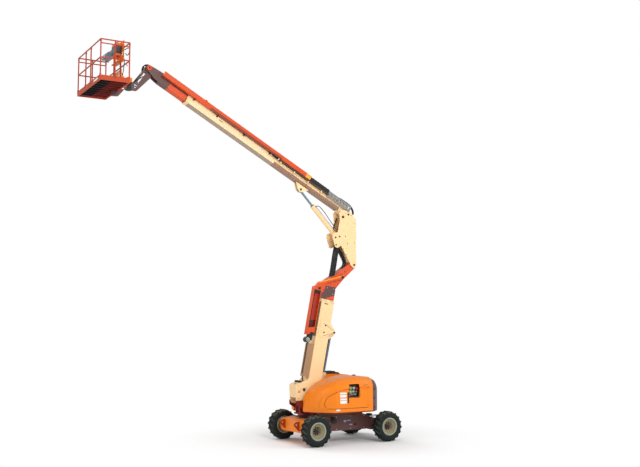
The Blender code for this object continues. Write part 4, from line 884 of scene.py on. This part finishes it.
tail_hoses = [
    [*[boom_at(s, n, y) for s, n in (
        (0.50, -0.312), (0.22, -0.318), (0.02, -0.30), (-0.15, -0.19), (-0.20, -0.02),
    )], (-0.60, y * 0.8, 6.86), (-0.58, y * 0.8, 6.70)] for y in (0.160, 0.136, 0.112, 0.088)
]
bars("boom_slot_mark", "main_boom", black, boom_at,
     [(5.05, 5.20, -0.105, -0.085, BOOM_SIDE, 0.1515)], 0.0005)
bars("tube_bracket", "main_fly", tube_paint_shade_highlight, boom_at, [
    (5.78, 5.86, -0.335, -0.308, 0.165, 0.266), (5.80, 5.84, -0.33, -0.175, 0.2695, 0.278),
    (7.20, 7.29, -0.318, -0.308, 0.165, 0.266),
])
hoses("tail_hoses", "main_boom", hose_rubber, tail_hoses,
      across=("upright", boom_at(0.02, -0.30), (-0.60, 0, 6.90)))
BOOM_EYE = boom_at(1.80, 0.19)[::2]
turned("boom_lug_pins", "main_boom", hub_paint, both_sides([BOOM_EYE], 0.0855),
       [(0.034, -0.002), (0.034, 0.01), (0.02, 0.014)])
cylinder_trim("main_cyl", "main_cyl_barrel", (-0.08, 6.37), BOOM_EYE, 1.30, 0.07)
hoses("main_cyl_hose", "main_cyl_barrel", hose_rubber, [[
    (0.69, 0.03, 7.27), (0.645, 0.05, 7.315), (0.56, 0.08, 7.28), (0.40, 0.10, 7.11),
    (0.22, 0.105, 6.88), (0.06, 0.10, 6.70), (-0.02, 0.08, 6.60),
]], 0.011)

# --- Main fly and support arm ---
# The inner boom, brown as painted shadow but for one lit red-orange stretch, carries hoses over its
# tip to the arm, whose end is a ribbed swing motor. The arm's brown is painted shade.
# Painted shadow: the inner boom's side is brown where shaded; the red-orange stretch is its lit
# colour.
wear(enamel("fly_boom_enamel_and_shadow", (98, 68, 64), 0.42, patches=[
    (RED_ORANGE, run_patch(6.0, 6.98, -0.125, 0.1)),
]), "main_fly")
# Painted shade: the support arm is shown brown, the orange of its shaded side.
wear(shade_brown, "support_arm")
TIP = [boom_at(7.723, -0.155)[::2]]
turned("tip_bosses", "main_fly", tube_paint_shade_highlight, both_sides(TIP, 0.147),
       [(0.075, 0), (0.075, 0.012), (0.06, 0.018)])
bolts("tip_bolts", "main_fly", iron, both_sides(TIP, 0.164))
fly_top = [
    [*[boom_at(s, n, y) for s, n in ((6.55, -0.285), (7.00, -0.29), (7.35, -0.29))],
     *[(x, y * share, z) for x, z, share in (
         (6.15, 11.03, 1), (6.28, 11.075, 1), (6.38, 11.05, 1), (6.42, 10.97, 0.9),
         (6.44, 10.86, 0.8), (6.54, 10.72, 0.7), (6.66, 10.56, 0.6),
     )]] for y in (-0.06, -0.03, 0.0, 0.03, 0.06)
]
hoses("tip_hoses", "main_fly", hose_rubber, fly_top, 0.014,
      across=("support_arm", (6.20, 0, 11.04), (6.50, 0, 10.80)))
bars("fly_top_clamps", "main_fly", black, boom_at, [
    (s, s + 0.05, -0.308, -0.266, -0.085, 0.085) for s in (6.6, 7.05)
], 0.004)
GROOVE = ((0.098, 0.03), (0.088, 0.034), (0.088, 0.06), (0.098, 0.064))
grooves = [(radius, along + 0.06 * k) for k in range(3) for radius, along in GROOVE]
turned("swing_motor", "support_arm", iron, [(xyz(6.83, 0, 10.27), UP)],
       [(0.085, 0), (0.098, 0.008), *grooves[:-1], (0.100, 0.184), (0.100, 0.205)])
blocks("arm_mark", "support_arm", blank_blue, [(6.60, 6.68, 0.0648, 0.067, 10.40, 10.44)], 0.0006)
hoses("arm_hoses", "support_arm", hose_rubber, [
    [(6.66, y, 10.56), (6.72, y + 0.02, 10.50), (6.80, y + 0.09, 10.47), (6.86, y + 0.10, 10.40)]
    for y in (-0.03, 0.0, 0.03)
], 0.013)
side_run = ((6.43, 10.715), (6.49, 10.67), (6.55, 10.62), (6.62, 10.57), (6.67, 10.53))
hoses("arm_side_hoses", "support_arm", hose_rubber, [[(x, 0.078, z) for x, z in side_run]], 0.011)
bolts("arm_bolts", "support_arm", zinc, both_sides([(6.66, 10.36), (6.66, 10.44)], 0.065), 0.010)

# --- Platform ---
# A railed basket of orange tube on a framed floor. The floor sheet is studded above; below, it is
# painted dark red and black as shade, and each post stands on a bolted foot.
rail_paint = enamel("rail_enamel", (176, 66, 36), 0.5, peel=0.0003)
# Painted shade: the floor's underside is dark red, the sheet near black, the front half near black.
floor_underside_shade = [((0, 0, -1), -10.246), ((0, -1, 0), -1.085), ((0, 1, 0), -1.085),
         ((1, 0, 0), 7.19 + MACHINE_X), ((-1, 0, 0), -(7.955 + MACHINE_X))]
floor_paint_and_shade = enamel("floor_enamel_and_shade", (184, 68, 28), 0.6, peel=0.0003, patches=[
    ((128, 34, 22), floor_underside_shade), ((24, 16, 16), [*floor_underside_shade, (UP, 10.229)]),
    ((26, 18, 18), [*floor_underside_shade, ((1, 0, 0), 7.62 + MACHINE_X)]),
])
wear(rail_paint, "platform_rails", "entry_bar")
wear(floor_paint_and_shade, "platform_floor")
wear(orange, "rotator", "console_plate")
wear(enamel("console_case", (30, 32, 34), 0.4, patches=[
    ((222, 96, 34), [plane]) for plane in ((UP, 11.40), ((0, 0, -1), -11.16))
]), "console")
wear(enamel("console_panel", (120, 146, 160), 0.35, peel=0.0004), "console_panel")
wear(dark_red, "guard_hoop")
REAR, MIDDLE, FRONT, SIDE, TOE_TOP, DECK_TOP = 7.169, 7.57, 7.971, 1.101, 10.32, 10.2465
POSTS = [(x, y) for x in (REAR, FRONT, MIDDLE) for y in (-SIDE, SIDE)]
POSTS += [(FRONT, -0.33), (FRONT, 0.17), (REAR, -0.32), (REAR, 0.32)]
SLEEVE = [(0.0205, 0), (0.0235, 0.006), (0.0235, 0.05), (0.0205, 0.056)]
bm = bmesh.new()
for x, y in POSTS:
    add_turned(bm, xyz(x, y, 10.322), UP, [(0.026, 0), (0.026, 0.035), (0.021, 0.045)], 20)
    add_turned(bm, xyz(x, y, 11.24), UP, SLEEVE, 20)
settled(bm, "post_sleeves", "platform", rail_paint)
toe_bolts = []
for x, y in POSTS:
    if x == MIDDLE:
        end = math.copysign(1, y)
        toe_bolts.append((xyz(x, 1.12 * end, 10.285), (0, end, 0)))
    else:
        end = math.copysign(1, x - MIDDLE)
        toe_bolts.append((xyz(MIDDLE + 0.42 * end, y, 10.285), (end, 0, 0)))
bolts("toe_board_bolts", "platform", iron, toe_bolts, 0.010)
STUD_STEP, STUD = 0.059, [(0.011, 0), (0.008, 0.004)]
studs = bmesh.new()
for i in range(13):
    for j in range(37):
        x, y = 7.215 + i * STUD_STEP + j % 2 * STUD_STEP / 2, -1.06 + j * STUD_STEP
        if x < 7.95:
            add_turned(studs, xyz(x, y, DECK_TOP), UP, STUD, 6)
settled(studs, "floor_studs", "platform", floor_paint_and_shade)
hoses("toe_board_lip", "platform", floor_paint_and_shade, [
    *[[(x, -1.118, TOE_TOP), (x, 1.118, TOE_TOP)] for x in (7.152, 7.988)],
    *[[(7.152, y, TOE_TOP), (7.988, y, TOE_TOP)] for y in (-1.117, 1.117)],
], 0.006, fine=2)
blocks("toe_blank_plate", "platform", blank_white, [(7.9895, 7.9915, 0.55, 0.95, 10.235, 10.285)],
       0.0006)
blocks("gate_fittings", "platform", black,
       [(7.955, 7.987, y, y + 0.027, 10.79, 10.83) for y in (-0.312, 0.125)])
hoses("harness_rings", "platform", zinc, [
    [(7.145, y - 0.02, 10.80), (7.12, y - 0.02, 10.77), (7.115, y, 10.755), (7.12, y + 0.02, 10.77),
     (7.145, y + 0.02, 10.80)] for y in (-0.85, -0.55, 0.75, 0.95)
], 0.006)
blocks("rotator_ribs", "platform", orange, [
    *[(7.05, 7.132, y, y + 0.02, 10.24, 10.60) for y in (-0.29, 0.27)],
    (7.00, 7.132, -0.012, 0.012, 10.52, 10.74),
])
# Painted shade: the bracket under the floor's rear edge is brown where it lies in shade.
bm = bmesh.new()
bracket = [(6.965, 10.27), (7.13, 10.07), (7.31, 10.06), (7.33, 10.186), (7.128, 10.216),
           (7.10, 10.27)]
add_prism(bm, [xyz(x, -0.07, z) for x, z in bracket], (0, 0.14, 0), 0.006)
settled(bm, "floor_bracket", "platform", shade_brown)
bolts("rotator_bolts", "platform", zinc, [
    (xyz(7.131, y, z), (-1, 0, 0)) for y in (-0.22, -0.12, 0.12, 0.22)
    for z in (10.30, 10.42, 10.72)
], 0.012)
turned("rotator_cap", "platform", orange, [(xyz(6.83, 0, 10.6195), UP)],
       [(0.10, 0), (0.10, 0.006), (0.05, 0.02), (0.05, 0.03), (0.03, 0.034)])

# --- Platform controls ---
# A black box and a sloped grey-blue panel at the rear rail, with sticks, switches and a red stop.
box_top = 11.473
sticks = [(xyz(7.28, y, box_top), (0.1, 0, 1)) for y in (0.15, 0.38)]
turned("stick_boots", "platform", plastic, sticks,
       [(0.036, -0.002), (0.036, 0.006), (0.026, 0.014), (0.028, 0.02), (0.014, 0.034)], 24)
turned("sticks", "platform", iron,
       [(xyz(7.283, y, box_top + 0.012), (0.1, 0, 1)) for y in (0.15, 0.38)],
       [(0.007, 0), (0.007, 0.018), (0.016, 0.022), (0.018, 0.036), (0.010, 0.042)], 20)
turned("platform_stop", "platform", stop_red, [(xyz(7.25, 0.27, box_top), UP)],
       [(0.012, -0.002), (0.012, 0.012), (0.024, 0.015), (0.024, 0.024), (0.016, 0.03)], 24)
toggles = [(xyz(7.345, 0.10 + 0.04 * k, 11.40), (1, 0, 0.2)) for k in range(9)]
turned("box_toggles", "platform", zinc, toggles,
       [(0.009, -0.002), (0.009, 0.006), (0.004, 0.008), (0.005, 0.028)], 12)
blocks("box_trim", "platform", guard_grey, [
    (7.335, 7.3445, 0.07, 0.47, 11.36, 11.44), (7.205, 7.335, 0.075, 0.465, 11.472, 11.4755),
], 0.002)
slope = Vector((0.17, 0, 0.26)).normalized()
knobs = [(xyz(x, -0.65 + 0.066 * k, z), slope)
         for k in range(6) for x, z in ((7.25, 11.443), (7.34, 11.384))]
turned("panel_knobs", "platform", black, knobs, [(0.016, -0.006), (0.016, 0.012), (0.012, 0.018)],
       20)
hoses("console_cables", "platform", hose_rubber, [
    [(7.16, 0.10, 11.10), (7.13, 0.12, 10.95), (7.135, 0.16, 10.80), (7.12, 0.20, 10.66)],
    [(7.16, 0.52, 11.10), (7.125, 0.50, 10.95), (7.12, 0.42, 10.72), (7.10, 0.24, 10.58),
     (7.02, 0.08, 10.56)],
    [(7.16, 0.60, 11.25), (7.12, 0.78, 11.26), (7.12, 0.92, 11.20), (7.125, 0.90, 11.08),
     (7.13, 0.76, 11.06), (7.14, 0.64, 11.14)],
])
blocks("foot_switch", "platform", black, [(7.40, 7.58, 0.18, 0.32, 10.247, 10.27)])
blocks("foot_switch_guard", "platform", stop_red, [
    *[(7.39, 7.59, y, y + 0.013, 10.247, 10.32) for y in (0.165, 0.322)],
    (7.57, 7.59, 0.17, 0.33, 10.30, 10.32),
], 0.003)
blocks("console_plate_mark", "platform", blank_white, [(7.2005, 7.2025, 0.50, 0.62, 11.10, 11.20)],
       0.0006)

# --- Studio ---
# A pale flat floor, four soft lamps, and the camera low on the left of the machine.
CAMERA_AT = Vector((11.70, 24.78, 3.89))
CAMERA_WAY = Vector((-0.49818, -0.86248, 0.08924))
CAMERA_UP = Vector((0.04464, 0.07728, 0.99604))
LENS_MM, SENSOR_MM = 51.11, 36
FLOOR_WIDTH, FLOOR_Z = 160.0, -0.002
FLOOR_MIDDLE, SHADOW_END, WHITE_FROM = (MACHINE_X, -0.4, 0), 2.2, 5.5
AIR_LIGHT = 0.55  # the air lights the machine less than the camera sees

# away from the machine the floor is as white as the air behind it
studio_white = bpy.data.materials.new("studio_white")
studio_white.use_nodes = True
tree = studio_white.node_tree
shader = tree.nodes["Principled BSDF"]
feed(tree, shader, {
    "Base Color": (0.93, 0.93, 0.93, 1), "Roughness": 0.95, "Specular IOR Level": 0.1,
})
place = grow(tree, "TexCoord", "Object")
reach = grow(tree, "VectorMath", "Value", {0: place, 1: FLOOR_MIDDLE}, operation="DISTANCE")
far = grow(tree, "MapRange", "Result", {
    "Value": reach, "From Min": SHADOW_END, "From Max": WHITE_FROM,
}, interpolation_type="SMOOTHSTEP")
seen = times(tree, far, grow(tree, "LightPath", "Is Camera Ray"))
white = grow(tree, "Emission", "Emission")
feed(tree, tree.nodes["Material Output"], {
    "Surface": grow(tree, "MixShader", "Shader",
                    {"Fac": seen, 1: shader.outputs["BSDF"], 2: white}),
})
bm = bmesh.new()
bmesh.ops.create_grid(bm, x_segments=4, y_segments=4, size=FLOOR_WIDTH / 2)
bmesh.ops.translate(bm, verts=bm.verts, vec=(0, 0, FLOOR_Z))
finished(bm, "studio_floor", studio_white)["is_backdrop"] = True

sky = bpy.data.worlds.new("studio_air")
scene.world = sky
sky.use_nodes = True
tree = sky.node_tree
level = ramp(tree, grow(tree, "LightPath", "Is Camera Ray"), to_min=AIR_LIGHT, to_max=1.0)
feed(tree, tree.nodes["Background"], {"Color": (1, 1, 1, 1), "Strength": level})

LAMPS = [  # name, place, aim, watts, size across
    ("key", (1, 23, 15), (0, 0, 5), 2700, 9),
    ("fill", (-15, 12, 9), (-2, 0, 4), 800, 9),
    ("side", (15, 6, 8), (0, 0, 5), 600, 9),
    ("back", (2, -16, 14), (0, 0, 5), 1400, 10),
]
for name, at, aim, watts, size in LAMPS:
    lamp = bpy.data.lights.new(name, "AREA")
    lamp.energy, lamp.size = watts, size
    holder = bpy.data.objects.new(name, lamp)
    scene.collection.objects.link(holder)
    holder.location = at
    holder.rotation_mode = "QUATERNION"
    holder.rotation_quaternion = (Vector(aim) - Vector(at)).to_track_quat("-Z", "Y")

lens = bpy.data.cameras.new("camera")
lens.lens, lens.sensor_width = LENS_MM, SENSOR_MM
lens.clip_end = 300
camera = bpy.data.objects.new("camera", lens)
scene.collection.objects.link(camera)
side = CAMERA_WAY.cross(CAMERA_UP)
camera.matrix_world = Matrix.Translation(CAMERA_AT) @ Matrix(
    (side, CAMERA_UP, -CAMERA_WAY)
).transposed().to_4x4()
scene.camera = camera
scene.view_settings.view_transform = "Standard"

low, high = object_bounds()
